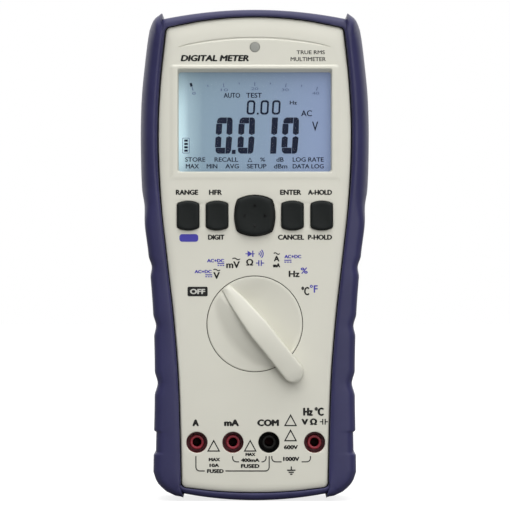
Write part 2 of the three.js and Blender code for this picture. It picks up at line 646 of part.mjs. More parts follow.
function addBack() {
  const doorFront = REAR_INSIDE + 0.1;
  const door = cut(plate(rectangle(-DOOR.half, DOOR.half, DOOR.low, DOOR.high, 1.8), doorFront, REAR), [
    ...DOOR_SCREWS.map(([x, z]) => rod(x, z, 1.5, doorFront - 1, REAR + 1, 8)),
    ...DOOR_SCREWS.map(([x, z]) => rod(x, z, 2.9, REAR - 1.2, REAR + 1, 12)),
    ...[23.5, 25.5, 27.5].map((z) => box(-9, 9, REAR - 0.6, REAR + 1, z, z + 1)),
  ]);
  add('battery_door', door, 'cream');
  DOOR_SCREWS.forEach(([x, z], i) => {
    const screw = cut(join([rod(x, z, 2.45, REAR - 0.9, REAR - 0.1, 12), rod(x, z, 1.05, 14, REAR - 0.5, 8)]), [
      box(x - 2, x + 2, REAR - 0.5, REAR + 1, z - 0.3, z + 0.3),
    ]);
    add(`door_screw_${i + 1}`, screw, 'steel');
  });

  const { half, low, pivotY, pivotZ, thickness } = STAND;
  const leaf = plate(rectangle(-half, half, low, pivotZ, 0), pivotY - thickness / 2, pivotY + thickness / 2);
  const stand = cut(join([
    leaf,
    crossRod(-half, half, pivotY, pivotZ, thickness / 2),
    crossRod(-half - 1.9, half + 1.9, pivotY, pivotZ, 1.2),
  ]), [
    plate(rectangle(-half + 4, half - 4, low + 8, pivotZ - 8, 3), pivotY + thickness / 2 - 0.9, REAR + 1),
  ]);
  add('tilt_stand', stand, 'charcoal');

  const port = join([
    plate(rectangle(-PORT.half, PORT.half, PORT.low, PORT.high, 0.8), REAR_INSIDE - 0.8, REAR - 0.2),
    plate(rectangle(-PORT.half - 1.5, PORT.half + 1.5, PORT.low - 1.5, PORT.high + 1.5, 1),
      REAR_INSIDE - 1.4, REAR_INSIDE - CLEARANCE),
  ]);
  add('ir_window', port, 'infrared');
}

addShells();
addDisplay();
addKeys();
addSelector();
addJacks();
addBoards();
addPower();
addBack();

export default meter;
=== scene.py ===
"""Handheld digital multimeter in a rubber holster. Sizes are in millimetres until a mesh is made."""

import json
from functools import partial
from math import acos, atan2, cos, pi, radians, sin, sqrt, tan

import bmesh
import bpy
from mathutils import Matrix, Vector
from mathutils.geometry import tessellate_polygon


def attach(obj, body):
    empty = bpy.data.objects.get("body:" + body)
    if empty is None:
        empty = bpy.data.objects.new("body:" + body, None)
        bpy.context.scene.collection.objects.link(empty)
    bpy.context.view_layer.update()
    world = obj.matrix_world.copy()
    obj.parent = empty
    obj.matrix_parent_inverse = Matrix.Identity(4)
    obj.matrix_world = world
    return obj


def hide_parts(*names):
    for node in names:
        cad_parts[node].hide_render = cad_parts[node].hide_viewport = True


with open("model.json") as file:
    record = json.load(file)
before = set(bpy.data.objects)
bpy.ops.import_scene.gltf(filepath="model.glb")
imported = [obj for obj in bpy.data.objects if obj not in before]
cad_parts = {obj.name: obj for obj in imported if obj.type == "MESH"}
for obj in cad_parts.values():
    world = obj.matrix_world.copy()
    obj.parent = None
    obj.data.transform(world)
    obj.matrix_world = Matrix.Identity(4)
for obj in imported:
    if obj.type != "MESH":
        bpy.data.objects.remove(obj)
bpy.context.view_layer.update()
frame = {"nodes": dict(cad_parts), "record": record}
scene = bpy.context.scene

MM = 0.001

# ---- sizes, in millimetres

FACE = -18.5  # front of the cream face
LEDGE = -16.5  # step behind the face's rolled edge
FACE_INSIDE = -16.1
POCKET_FRONT = -14.1  # front of the pocket that the boards fill
SPLIT = 1  # where the two shells meet
GLASS = -14.2  # front of the display glass

FACE_STATIONS = [
    (4, 30.3), (26, 30.8), (52, 31.7), (77, 33.7), (102, 36.5), (125, 38.9), (152, 40), (175, 39),
    (197, 36.7),
]
FACE_TOP = (201.3, 4.5, 36.7)  # height at the middle, drop at the corner, half-width at the corner
FACE_BOTTOM = (3.5, -2.3, 30.5)

HOLSTER_STATIONS = [
    (12, 42.3), (25, 42.1), (40, 41.8), (60, 41.8), (80, 42.5), (103, 44.4), (115, 45.9), (123, 46.1),
    (130, 47.2), (145, 47.7), (158, 47.7), (170, 47.2), (182, 46), (192, 44.8), (197, 44),
]
DISPLAY = (32, 136.8, 179.3)  # half-width, lower and upper edge of the window
SENSOR_Z = 188.8
KEY_Z = 118.7
KEY_COLUMNS = {"key_range": -27.75, "key_filter": -15.7, "key_enter": 15.67, "key_hold": 27.85}
DIAL_Z = 73.6
DIAL_REST = radians(128.6)
JACK_Z = 24.25
JACK_COLUMNS = {"jack_a": -24.1, "jack_ma": -9.1, "jack_com": 5.9, "jack_v": 24.9}


# ---- node materials

# Colour sockets of a mix node, by place: several share a name.
MIX_FIRST = 6
MIX_SECOND = 7
MIX_RESULT = 2

WHITE = (1, 1, 1, 1)


class Nodes:
    """A node tree. Sockets are named with _ for each space, and take a value or another node's output."""

    def __init__(self, owner, shader="Principled BSDF", coordinates="Object"):
        """Takes the world, or the name of a new material."""
        self.owner = bpy.data.materials.new(owner) if isinstance(owner, str) else owner
        self.owner.use_nodes = True
        self.tree = self.owner.node_tree
        self.shader = self.tree.nodes[shader]
        self.coordinates = self.add("TexCoord").outputs[coordinates]

    def fill(self, socket, value):
        if isinstance(value, bpy.types.NodeSocket):
            self.tree.links.new(value, socket)
        else:
            socket.default_value = value

    def set(self, **values):
        """Fills the shader's own sockets."""
        for key, value in values.items():
            self.fill(self.shader.inputs[key.replace("_", " ")], value)

    def add(self, kind, **settings):
        """Adds a node. Each setting fills the socket of that name, or else the node's own property."""
        node = self.tree.nodes.new("ShaderNode" + kind)
        for key, value in settings.items():
            socket = node.inputs.get(key.replace("_", " "))
            if socket is None:
                setattr(node, key, value)
            else:
                self.fill(socket, value)
        return node

    def noise(self, scale, detail=3, roughness=0.55, vector=None):
        vector = vector or self.coordinates
        node = self.add("TexNoise", Vector=vector, Scale=scale, Detail=detail, Roughness=roughness)
        return node.outputs["Fac"]

    def ramp(self, factor, stops):
        """Colours between (position, colour) stops."""
        node = self.add("ValToRGB", Fac=factor)
        elements = node.color_ramp.elements
        while len(elements) < len(stops):
            elements.new(0.5)
        for element, (position, color) in zip(elements, stops):
            element.position = position
            element.color = (*color, 1)
        return node.outputs["Color"]

    def rescale(self, value, start=0, stop=1, low=0, high=1):
        """Maps start..stop to low..high."""
        node = self.add("MapRange", Value=value, From_Min=start, From_Max=stop, To_Min=low, To_Max=high)
        return node.outputs["Result"]

    def multiply(self, first, second):
        node = self.add("Math", operation="MULTIPLY")
        self.fill(node.inputs[0], first)
        self.fill(node.inputs[1], second)
        return node.outputs["Value"]

    def mix(self, factor, first, second, blend="MIX"):
        node = self.add("Mix", data_type="RGBA", blend_type=blend, Factor=factor)
        self.fill(node.inputs[MIX_FIRST], first)
        self.fill(node.inputs[MIX_SECOND], second)
        return node.outputs[MIX_RESULT]

    def bump(self, height, strength, distance):
        node = self.add("Bump", Height=height, Strength=strength, Distance=distance)
        self.set(Normal=node.outputs["Normal"])


def shade(color, factor):
    return tuple(channel * factor for channel in color)


def grey(level):
    return (level, level, level)


def moulded(name, color, roughness, grain=2600, strength=0.12, variation=0.04, specular=0.5, metallic=0):
    """Plastic or rubber: slight colour drift, uneven gloss and a spark-eroded grain."""
    nodes = Nodes(name)
    drift = nodes.noise(45, 4)
    gloss = nodes.noise(420)
    stops = [(0.3, shade(color, 1 - variation)), (0.7, shade(color, 1 + variation))]
    nodes.set(
        Base_Color=nodes.ramp(drift, stops),
        Roughness=nodes.rescale(gloss, low=roughness - 0.06, high=roughness + 0.06),
        Specular_IOR_Level=specular,
        Metallic=metallic,
    )
    nodes.bump(nodes.noise(grain, 2), strength, 0.00005)
    return nodes.owner


def metal(name, color, roughness, stretch=(1, 1, 1)):
    """Plated or drawn metal with fine directional scratches."""
    nodes = Nodes(name)
    mapping = nodes.add("Mapping", Vector=nodes.coordinates, Scale=stretch)
    scratch = nodes.noise(1500, roughness=0.5, vector=mapping.outputs["Vector"])
    nodes.set(
        Base_Color=nodes.ramp(scratch, [(0.35, shade(color, 0.88)), (0.65, color)]),
        Roughness=nodes.rescale(scratch, low=roughness - 0.08, high=roughness + 0.1),
        Metallic=1,
    )
    nodes.bump(scratch, 0.08, 0.00003)
    return nodes.owner


def display_material():
    """Back-lit glass: a blue-grey field that glows paler at its left edge."""
    nodes = Nodes("lcd_field")
    place = nodes.add("SeparateXYZ", Vector=nodes.coordinates).outputs
    across = nodes.rescale(place["X"], -0.032, 0.032)
    up = nodes.rescale(place["Z"], 0.137, 0.179)
    field = nodes.ramp(across, [
        (0, (0.2, 0.28, 0.33)), (0.15, (0.185, 0.262, 0.325)), (0.55, (0.18, 0.246, 0.335)),
        (1, (0.192, 0.245, 0.385)),
    ])
    edge = nodes.ramp(across, [(0, grey(1)), (0.025, grey(0.75)), (0.07, grey(0.24)), (0.16, grey(0))])
    height = nodes.ramp(up, [(0, grey(0.5)), (0.3, grey(1)), (0.65, grey(0.8)), (1, grey(0.15))])
    color = nodes.mix(nodes.multiply(edge, height), field, (0.6, 0.8, 0.86, 1))
    nodes.set(Base_Color=color, Emission_Color=color, Emission_Strength=0.42)
    nodes.set(Roughness=0.35, Specular_IOR_Level=0.1)
    return nodes.owner


def window_material():
    """Clear moulding with faint smears."""
    nodes = Nodes("window_clear")
    gloss = nodes.rescale(nodes.noise(160, 2), low=0.08, high=0.13)
    nodes.set(Base_Color=(0.02, 0.03, 0.04, 1), Alpha=0.04, Roughness=gloss)
    return nodes.owner


def board_material():
    """Solder mask over copper: pale traces show through the green."""
    nodes = Nodes("solder_mask")
    traces = nodes.add(
        "TexBrick", Vector=nodes.coordinates, Scale=260, Mortar_Size=0.03,
        Color1=(0.012, 0.1, 0.045, 1), Color2=(0.016, 0.13, 0.055, 1), Mortar=(0.035, 0.22, 0.09, 1),
    )
    nodes.bump(traces.outputs["Fac"], 0.2, 0.00003)
    nodes.set(Base_Color=traces.outputs["Color"], Roughness=0.3)
    return nodes.owner


MATERIALS = {
    "case_cream": moulded("cream_plastic", (0.6, 0.59, 0.515), 0.5, variation=0.015),
    "holster_rubber": moulded("blue_rubber", (0.027, 0.026, 0.082), 0.42, 1700, 0.2, 0.1, specular=0.32),
    "key_rubber": moulded("charcoal_rubber", (0.009, 0.011, 0.0105), 0.55, 2200, 0.25, specular=0.14),
    # Real black for the pad's arrows; on the holster's inner lip and the ring in the dial's slot this
    # near-black is painted shade.
    "dark_plastic": moulded("black_plastic_and_painted_shade", grey(0.004), 0.5, specular=0.15),
    "stand_plastic": moulded("charcoal_plastic", (0.028, 0.03, 0.034), 0.55, strength=0.25),
    "lens_clear": window_material(),
    "lcd": display_material(),
    "light_guide": moulded("light_guide", (0.8, 0.82, 0.85), 0.4),
    "sensor_window": moulded("sensor_grey", (0.26, 0.265, 0.24), 0.4),
    "jack_red": moulded("jack_red", (0.3, 0.012, 0.03), 0.38, variation=0.06),
    "jack_black": moulded("jack_black", (0.01, 0.01, 0.009), 0.5, specular=0.2),
    "brass": metal("plated_brass", (0.62, 0.46, 0.2), 0.3),
    # Near-black metal for the contacts deep in the sockets: painted shade for the dark inside each socket, in
    # place of the contacts' own bright metal.
    "contact_painted_shade": metal("contact_painted_shade", (0.035, 0.016, 0.016), 0.5),
    "steel": metal("zinc_steel", (0.55, 0.56, 0.58), 0.32, stretch=(1, 1, 6)),
    "circuit_board": board_material(),
    "rotor_plastic": moulded("natural_plastic", (0.72, 0.71, 0.66), 0.45),
    "fuse_ceramic": moulded("fuse_ceramic", (0.78, 0.75, 0.68), 0.5, grain=900),
    "battery_jacket": moulded("battery_jacket", (0.045, 0.075, 0.14), 0.3, metallic=0.4),
    "port_window": moulded("port_red", (0.035, 0.002, 0.004), 0.12),
    "ink_black": moulded("ink_black", (0.012, 0.012, 0.011), 0.55, specular=0.2),
    "ink_blue": moulded("ink_blue", (0.06, 0.053, 0.34), 0.55, specular=0.2),
    "ink_white": moulded("ink_white", (0.5, 0.5, 0.46), 0.55),
    "segment_dark": moulded("segment_dark", (0.006, 0.01, 0.03), 0.6, specular=0.1),
    "segment_faint": moulded("segment_faint", (0.13, 0.175, 0.29), 0.6, specular=0.1),
}


# ---- outlines


def along(stations, z):
    """Smooth curve through (height, value) stations, the same one the CAD uses."""
    last = len(stations) - 1
    i = 0
    while i < last - 1 and z > stations[i + 1][0]:
        i += 1

    def slope(k):
        a = stations[max(k - 1, 0)]
        b = stations[min(k + 1, last)]
        return (b[1] - a[1]) / (b[0] - a[0])

    z0, v0 = stations[i]
    z1, v1 = stations[i + 1]
    span = z1 - z0
    t = (z - z0) / span
    rise = t * t * (3 - 2 * t)
    bends = t * (1 - t) * (1 - t) * span * slope(i) + t * t * (t - 1) * span * slope(i + 1)
    return v0 + (v1 - v0) * rise + bends


def face_half(z):
    return along(FACE_STATIONS, z)


def crown(end, x):
    middle, drop, half = end
    return middle - drop * (x / half) ** 2


def smooth(t):
    t = min(max(t, 0), 1)
    return t * t * (3 - 2 * t)


def spaced(start, stop, count):
    return [start + (stop - start) * k / (count - 1) for k in range(count)]


def round_corners(corners, steps):
    """Replaces each (x, z, radius) corner that has a radius with an arc of steps + 1 points."""
    points = []
    for i, (x, z, radius) in enumerate(corners):
        if radius == 0:
            points.append((x, z))
            continue
        here = Vector((x, z))
        before = (Vector(corners[i - 1][:2]) - here).normalized()
        after = (Vector(corners[(i + 1) % len(corners)][:2]) - here).normalized()
        half = acos(max(-1, min(1, before.dot(after)))) / 2
        centre = here + (before + after).normalized() * (radius / sin(half))
        first, final = (here + side * (radius / tan(half)) - centre for side in (before, after))
        start = atan2(first.y, first.x)
        turn = (atan2(final.y, final.x) - start + pi) % (2 * pi) - pi
        for k in range(steps + 1):
            angle = start + turn * k / steps
            points.append((centre.x + radius * cos(angle), centre.y + radius * sin(angle)))
    return points


def roll_width(z):
    """Width of the face's rolled side edge: tight beside the sockets, broad beside the display."""
    return 0.9 + 3.3 * smooth((z - 66) / 40)


def face_outline(side, top, bottom, radius, roll=0):
    """The face's outline, grown at its sides, top and bottom. Every call gives as many points."""

    def edge(z):
        return face_half(z) + side - roll * roll_width(z)

    low_x = edge(6)
    high_x = edge(197)
    right = [(low_x, crown(FACE_BOTTOM, low_x) - bottom, radius)]
    right += [(edge(z), z, 0) for z in spaced(17, 184, 56)]
    right += [(high_x, crown(FACE_TOP, high_x) + top, radius)]
    upper = [(x, crown(FACE_TOP, x) + top, 0) for x in spaced(24, -24, 25)]
    left = [(-x, z, r) for x, z, r in reversed(right)]
    lower = [(x, crown(FACE_BOTTOM, x) - bottom, 0) for x in spaced(-20, 20, 19)]
    return round_corners(right + upper + left + lower, 8)


def pocket_outline():
    """The space inside the holster that the two shells fill."""
    return face_outline(3.45, 0.3, 0.3, 6.2)


def rectangle(half, low, high, radius, steps=6, x=0):
    corners = [(half, low, radius), (half, high, radius), (-half, high, radius), (-half, low, radius)]
    return [(x + px, z) for px, z in round_corners(corners, steps)]


def circle(x, z, radius, count=64):
    angles = [2 * pi * k / count for k in range(count)]
    return [(x + radius * cos(a), z + radius * sin(a)) for a in angles]


def cushion_outline(x, half, side, bow, arch, radius, count):
    """Soft corners, ends arched by arch, and sides bowed out by bow, or straight where it is 0."""
    reach = 0.72  # share of a side that its bowed points cover
    points = []
    for sign in (1, -1):
        points.append((x + sign * half, KEY_Z - sign * side, radius))
        if bow:
            bowed = [(half + bow * (1 - u * u), u * side) for u in spaced(-reach, reach, count)]
            points += [(x + sign * out, KEY_Z + sign * up, 0) for out, up in bowed]
        points.append((x + sign * half, KEY_Z + sign * side, radius))
        arched = [(u * half, side + arch * (1 - u * u)) for u in spaced(reach, -reach, count)]
        points += [(x + sign * out, KEY_Z + sign * up, 0) for out, up in arched]
    return round_corners(points, 5)


def key_outline(x, grow):
    return cushion_outline(x, 4.55 + grow, 4.9 + grow, 0, 1.15, 1.1, 9)


def pad_outline(grow):
    return cushion_outline(0, 7.1 + grow, 6.5 + grow, 1.2, 1.85, 1.6, 11)


# ---- mesh building


def at(points, y):
    return [(x, y, z) for x, z in points]


def grown(outline, steps, start=0):
    """Rings of one outline: each step is its growth, or its radius, and y from the start."""
    return [at(outline(grow), start + y) for grow, y in steps]


class Shell:
    """Vertices and faces in millimetres, gathered ring by ring."""

    def __init__(self):
        self.verts = []
        self.faces = []

    def ring(self, points):
        start = len(self.verts)
        self.verts += points
        return list(range(start, start + len(points)))

    def bridge(self, a, b):
        self.faces += zip(a, a[1:] + a[:1], b[1:] + b[:1], b)

    def cap(self, rings):
        """Fills the flat region inside the first ring and outside the others."""
        loops = [[Vector((self.verts[i][0], self.verts[i][2], 0)) for i in ring] for ring in rings]
        flat = [i for ring in rings for i in ring]
        self.faces += [tuple(flat[i] for i in triangle) for triangle in tessellate_polygon(loops)]

    def loft(self, rings, first_cap=False, last_cap=False, closed=False):
        indices = [self.ring(points) for points in rings]
        for a, b in zip(indices, indices[1:]):
            self.bridge(a, b)
        if closed:
            self.bridge(indices[-1], indices[0])
        if first_cap:
            self.cap([indices[0]])
        if last_cap:
            self.cap([indices[-1]])
        return indices

    def bar(self, sections):
        """Sections with one face across each end."""
        indices = self.loft(sections)
        self.faces += [tuple(indices[0]), tuple(indices[-1])]
        return self

    def dome(self, rings, centre):
        """A body that is flat behind its first ring and closes to a point in front."""
        last = self.loft(rings, first_cap=True)[-1]
        self.verts.append(centre)
        tip = len(self.verts) - 1
        self.faces += [(here, after, tip) for here, after in zip(last, last[1:] + last[:1])]
        return self

    def turned(self, x, z, profile, count=48):
        """A closed turned body: profile points are (radius, y)."""
        self.loft(grown(partial(circle, x, z, count=count), profile), closed=True)
        return self


def add_object(name, data):
    thing = bpy.data.objects.new(name, data)
    scene.collection.objects.link(thing)
    return thing


def piece(name, shell, slot, body="case", replaces=(), sharp=50, weighted=False, material=None):
    """Makes an object of a shell, hangs it on its body and hides the CAD nodes that it replaces."""
    mesh = bpy.data.meshes.new(name)
    mesh.from_pydata([(x * MM, y * MM, z * MM) for x, y, z in shell.verts], [], shell.faces)
    bm = bmesh.new()
    bm.from_mesh(mesh)
    bmesh.ops.remove_doubles(bm, verts=bm.verts, dist=2e-6)
    bmesh.ops.recalc_face_normals(bm, faces=bm.faces)
    bm.to_mesh(mesh)
    bm.free()
    mesh.validate()
    mesh.shade_smooth()
    mesh.set_sharp_from_angle(angle=radians(sharp))
    mesh.materials.append(MATERIALS[material or slot])
    thing = add_object(name, mesh)
    if weighted:
        thing.modifiers.new("even_normals", "WEIGHTED_NORMAL").keep_sharp = True
    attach(thing, body)
    if replaces:
        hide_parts(*replaces)


# ---- front case

ROLL_STEPS = 8
ROLL_TOP = 7.4  # how far the rolled edge reaches in at the top of the face, and at its foot
ROLL_FOOT = 3
BEAD_FADE = 0.75  # share of the bead's height that is gone at the foot of the display

# Behind the rolled edge: growth at the sides, top and bottom, corner radius and y.
CASE_STEPS = [
    (0, 0, 0, 2.2, LEDGE), (2.7, 0, 0, 5.6, LEDGE), (3.1, 0, 0, 6, LEDGE + 0.4), (3.1, 0, 0, 6, SPLIT),
    (1, -2.4, -2.4, 4, SPLIT), (1, -2.4, -2.4, 4, POCKET_FRONT), (-1.2, -2.6, -2.6, 4, POCKET_FRONT),
    (-1.2, -2.6, -2.6, 4, FACE_INSIDE),
]

# The bead round the display: growth at the sides and foot, growth at the top, and depth from the face.
BEAD = [
    (3.6, 2.3, 0), (3.2, 2.1, -0.05), (2.7, 1.9, -0.25), (2.2, 1.7, -0.46), (1.7, 1.4, -0.55),
    (0.75, 0.8, -0.55), (0.4, 0.55, -0.47), (0.15, 0.4, -0.25), (0.05, 0.2, 0.15), (-0.3, -0.85, 2.1),
    (-0.3, -0.85, 2.4),
]


def rolled_edge():
    """Rings from the flat of the face over its rolled edge."""
    rings = []
    for k in range(ROLL_STEPS + 1):
        angle = pi / 2 * k / ROLL_STEPS
        inward = 1 - sin(angle)
        fall = (LEDGE - FACE) * (1 - cos(angle))
        outline = face_outline(0, -ROLL_TOP * inward, -ROLL_FOOT * inward, 2.2 + 2 * inward, roll=inward)
        rings.append([(x, FACE + fall * (0.5 + 0.3 * smooth((z - 170) / 20)), z) for x, z in outline])
    return rings


def display_bead():
    """Rings from the face over the bead and into the window's opening."""
    half, low, high = DISPLAY
    rings = []
    for grow, top, y in BEAD:
        outline = rectangle(half + grow, low - grow, high + top, 1 + 0.1 * grow)
        fade = BEAD_FADE if y < 0 else 0
        rings.append([(x, FACE + y * (1 - fade * smooth((high - z) / (high - low))), z) for x, z in outline])
    return rings


def arc_groove(grow):
    """The arched groove over the display: a crescent that fades out at both ends."""
    half = 31.9

    def side(sign, xs):
        return [(x, 192.6 - 3.7 * (x / half) ** 2 + sign * grow * (1 - (x / half) ** 8)) for x in xs]

    across = spaced(half, -half, 41)
    return side(1, across) + side(-1, across[-2:0:-1])


def front_case():
    """The cream face, with its arched groove and every opening."""
    shell = Shell()
    steps = [at(face_outline(side, top, bottom, radius), y) for side, top, bottom, radius, y in CASE_STEPS]
    outer = shell.loft(rolled_edge() + steps)
    holes = [shell.loft(display_bead())]

    def opening(outline, rim):
        return shell.loft(grown(outline, rim, FACE))

    rim = [(0.35, 0), (0.2, 0.1), (0.15, 0.35), (0.15, 2.4)]
    holes += [opening(partial(key_outline, x), rim) for x in KEY_COLUMNS.values()]
    holes.append(opening(pad_outline, [(0.5, 0), (0.33, 0.1), (0.27, 0.4), (0.27, 2.4)]))
    cup = [(20.2, 0), (20.11, 0.1), (20.1, 3), (4.6, 3), (4.6, 5), (22.1, 5), (22.1, 2.4)]
    holes.append(opening(partial(circle, 0, DIAL_Z, count=128), cup))
    rim = [(4.7, 0), (4.48, 0.12), (4.4, 0.4), (4.4, 2.4)]
    holes += [opening(partial(circle, x, JACK_Z), rim) for x in JACK_COLUMNS.values()]
    groove = opening(arc_groove, [(0.65, 0), (0.5, 0.05), (0.2, 0.26), (0.08, 0.3)])
    rim = [(2.3, 0), (2.2, 0.05), (2.15, 0.2), (2.15, 2.4)]
    sensor = opening(partial(circle, 0, SENSOR_Z, count=48), rim)
    shell.cap([outer[0], groove[0], sensor[0]] + [hole[0] for hole in holes])
    shell.cap([groove[-1]])
    shell.cap([outer[-1], sensor[-1]] + [hole[-1] for hole in holes])
    piece("front_case_skin", shell, "case_cream", replaces=["front_case"], weighted=True)


# ---- holster

# The side rails' outer edge below and above the stations: the rounded foot and the horn.
RAIL_FOOT = [(29.9, 1.4), (33, 1.9), (36.7, 3.6), (38.6, 5.2), (40.2, 6.9), (41.2, 8.6), (41.8, 10.3)]
RAIL_HORN = [(43.4, 198.4), (42.5, 200.2), (41.6, 201.3), (40.6, 202.1), (39.6, 202.7), (38.6, 203.1)]

# Across a rail's rounded face: share of its width, and how far it falls from the crest.
RAIL_FACE = [(0.1, 0.22), (0.22, 0.06), (0.36, 0), (0.52, 0.07), (0.68, 0.24), (0.84, 0.5), (1, 0.85)]
RAIL_CREST = -20.15
RAIL_BACK = 24.97
WRAP_STEPS = 9

# Across the band's rolled front: share of its width, and y.
BAND_FRONT = [
    (0.2, -18.88), (0.36, -18.84), (0.52, -18.7), (0.66, -18.4), (0.79, -17.9), (0.9, -17.1), (0.97, -16.1),
]
INSIDE_BACK = 22.8
INSIDE_FRONT = -16.8


def looped(points):
    return points + points[:1]


def grip_dip(z):
    """Depth of the finger grooves in a rail's outer edge: three soft, one square near the foot."""
    depth = 0
    for centre, reach, deepest in ((97.5, 4.6, 0.9), (73, 4.8, 0.95), (48.9, 5.4, 1.2)):
        depth += deepest * (1 - smooth(abs(z - centre) / reach))
    return depth + 0.95 * (1 - smooth((abs(z - 24.2) - 4.3) / 0.7))


def rail_outer():
    side = [(along(HOLSTER_STATIONS, z) - grip_dip(z), z) for z in spaced(12, 196.5, 370)]
    return RAIL_FOOT + side + RAIL_HORN


def rail_inner():
    beside_face = [(face_half(z) + 0.42 + 0.55 * smooth((z - 118) / 25), z) for z in spaced(8, 194, 90)]
    return [(29.8, 1.2), (31.2, 6.3)] + beside_face + [(38.2, 196.6), (38.4, 198), (38.5, 203.4)]


def crossing(points, origin, direction):
    """Distance along a ray to the farthest crossing of a chain of points."""
    best = 0
    ox, oz = origin
    dx, dz = direction
    for (ax, az), (bx, bz) in zip(points, points[1:]):
        ex = bx - ax
        ez = bz - az
        cross = dx * ez - dz * ex
        if abs(cross) < 1e-12:
            continue
        t = ((ax - ox) * ez - (az - oz) * ex) / cross
        s = ((ax - ox) * dz - (az - oz) * dx) / cross
        if -1e-9 <= s <= 1 + 1e-9 and t > best:
            best = t
    return best


def fan(origin, start, stop, count):
    """Rays from one point, spread over angles in degrees."""
    angles = [radians(a) for a in spaced(start, stop, count)]
    return [(origin, (cos(a), sin(a))) for a in angles]


def on_ray(origin, direction, section, sign=1):
    """A section's (reach, y) points, laid along a ray."""
    x, z = origin
    dx, dz = direction
    return [(sign * (x + dx * reach), y, z + dz * reach) for reach, y in section]


def rounded_back(outer, y, inward, height, steps):
    angles = spaced(0, pi / 2, steps)
    return [(outer - inward * (1 - cos(a)), y + height * sin(a)) for a in angles]


def rail_rays():
    """From the foot, up the side, and over the horn."""
    foot = (26, 15)
    horn = (35, 187)
    side = [((24, z), (1, 0)) for z in spaced(foot[1], horn[1], 345)]
    return fan(foot, -74.5, 0, 90)[:-1] + side + fan(horn, 0, 77.5, 70)[1:]


def rail_section(inner, wall, outer, broad):
    """(reach, y) points round a rail. broad is 1 beside the display, and 0 at the grips."""
    width = outer - inner
    wrap = min(0.7 + 2.3 * broad, 0.34 * width)
    band = min(1.7 - 0.2 * broad, 0.24 * width)
    face = width - wrap - band
    lip = min(0.3, 0.3 * face)
    points = [(inner, -17.2), (inner, -18.9), (inner + 0.1 * lip, -19.35), (inner + 0.45 * lip, -19.7)]
    for t, drop in RAIL_FACE:
        rolled = drop * (0.35 + 0.65 * broad)
        points.append((inner + lip + (face - lip) * t, RAIL_CREST + rolled + 0.15 * (1 - broad) * t))
    start = points[-1][1]
    for share, fall in ((0.3, 0.3), (0.65, 0.85), (1, 1.6)):
        points.append((inner + face + share * band, start + fall))
    y = points[-1][1]
    for k in range(WRAP_STEPS):
        y += wrap / WRAP_STEPS * tan(radians(56 + 29 * (k + 0.5) / WRAP_STEPS))
        points.append((inner + face + band + wrap * (k + 1) / WRAP_STEPS, y))
    for level in (0.25, 0.5, 0.75, 1):
        points.append((outer, y + (20.2 - y) * level))
    points += rounded_back(outer, 21.97, 3 * min(1, width / 6), 3, 8)
    points += [(wall, y) for y in (RAIL_BACK, INSIDE_BACK, 2, INSIDE_FRONT)]
    return points + [(inner, INSIDE_FRONT)]


def rail(sign):
    """One rail, from its foot over its horn: the right one, or the left one where sign is -1."""
    outer_line = rail_outer()
    inner_line = rail_inner()
    pocket = looped(pocket_outline())
    sections = []
    for origin, direction in rail_rays():
        inner = crossing(inner_line, origin, direction)
        outer = max(crossing(outer_line, origin, direction), inner + 0.12)
        wall = min(max(crossing(pocket, origin, direction), inner + 0.04), outer - 0.04)
        z = origin[1] + direction[1] * outer
        broad = smooth((z - 112) / 26) * (1 - 0.5 * smooth((z - 196) / 6))
        sections.append(on_ray(origin, direction, rail_section(inner, wall, outer, broad), sign))
    return Shell().bar(sections)


def band_outline():
    right = [(29.9, 2.85), (33, 4.4), (36.5, 6.6), (39, 10), (40.2, 15)]
    right += [(along(HOLSTER_STATIONS, z) - 2.4, z) for z in spaced(20, 190, 60)]
    right += [(42, 193.5), (41.4, 196.5), (40.2, 199.2), (38.9, 200.5)]
    upper = [(x, 204.6 - 3.75 * (x / 37.4) ** 2) for x in spaced(37.6, -37.6, 61)]
    left = [(-x, z) for x, z in reversed(right)]
    lower = [(x, 2.7 * (x / 29) ** 2) for x in spaced(-28.6, 28.6, 45)]
    return right + upper + left + lower


def band_rays():
    """All the way round, anticlockwise: each side, then the fan of the corner after it."""
    low = 16
    high = 188
    half = 22
    rays = []
    for turn, (direction, start, stop, count, corner_count) in enumerate([
        ((1, 0), (half, low), (half, high), 60, 60), ((0, 1), (half, high), (-half, high), 40, 60),
        ((-1, 0), (-half, high), (-half, low), 60, 50), ((0, -1), (-half, low), (half, low), 40, 50),
    ]):
        side = zip(spaced(start[0], stop[0], count), spaced(start[1], stop[1], count))
        rays += [(point, direction) for point in side]
        rays += fan(stop, 90 * turn, 90 * (turn + 1), corner_count)[1:-1]
    return rays


def band_section(inner, wall, back, outer):
    """(reach, y) points round the band: rolled front, side, rounded back, opening and inside."""
    width = outer - inner
    section = [(inner, -17.3), (inner, -18.2), (inner + 0.08, -18.6), (inner + 0.25, -18.82)]
    section += [(inner + share * width, y) for share, y in BAND_FRONT]
    section += [(outer, y) for y in (-15, -8, 0, 8, 16, 22.2)]
    section += rounded_back(outer, 22.4, 2.6, 2.6, 7)[1:]
    section += [(back + 0.5, 25), (back + 0.12, 24.88), (back, 24.5), (back, INSIDE_BACK)]
    section += [(wall, INSIDE_BACK), (wall, INSIDE_FRONT), (inner, INSIDE_FRONT)]
    return section


def band():
    """The band that runs round the meter between and behind the rails."""
    front = face_outline(0.6, 0.35, 0.35, 2.6)
    back = face_outline(-1.5, -6, -6, 8)
    outlines = [looped(points) for points in (front, pocket_outline(), back, band_outline())]
    sections = []
    for origin, direction in band_rays():
        inner, wall, back, outer = (crossing(points, origin, direction) for points in outlines)
        sections.append(on_ray(origin, direction, band_section(inner, min(wall, outer - 0.3), back, outer)))
    shell = Shell()
    shell.loft(sections, closed=True)
    return shell


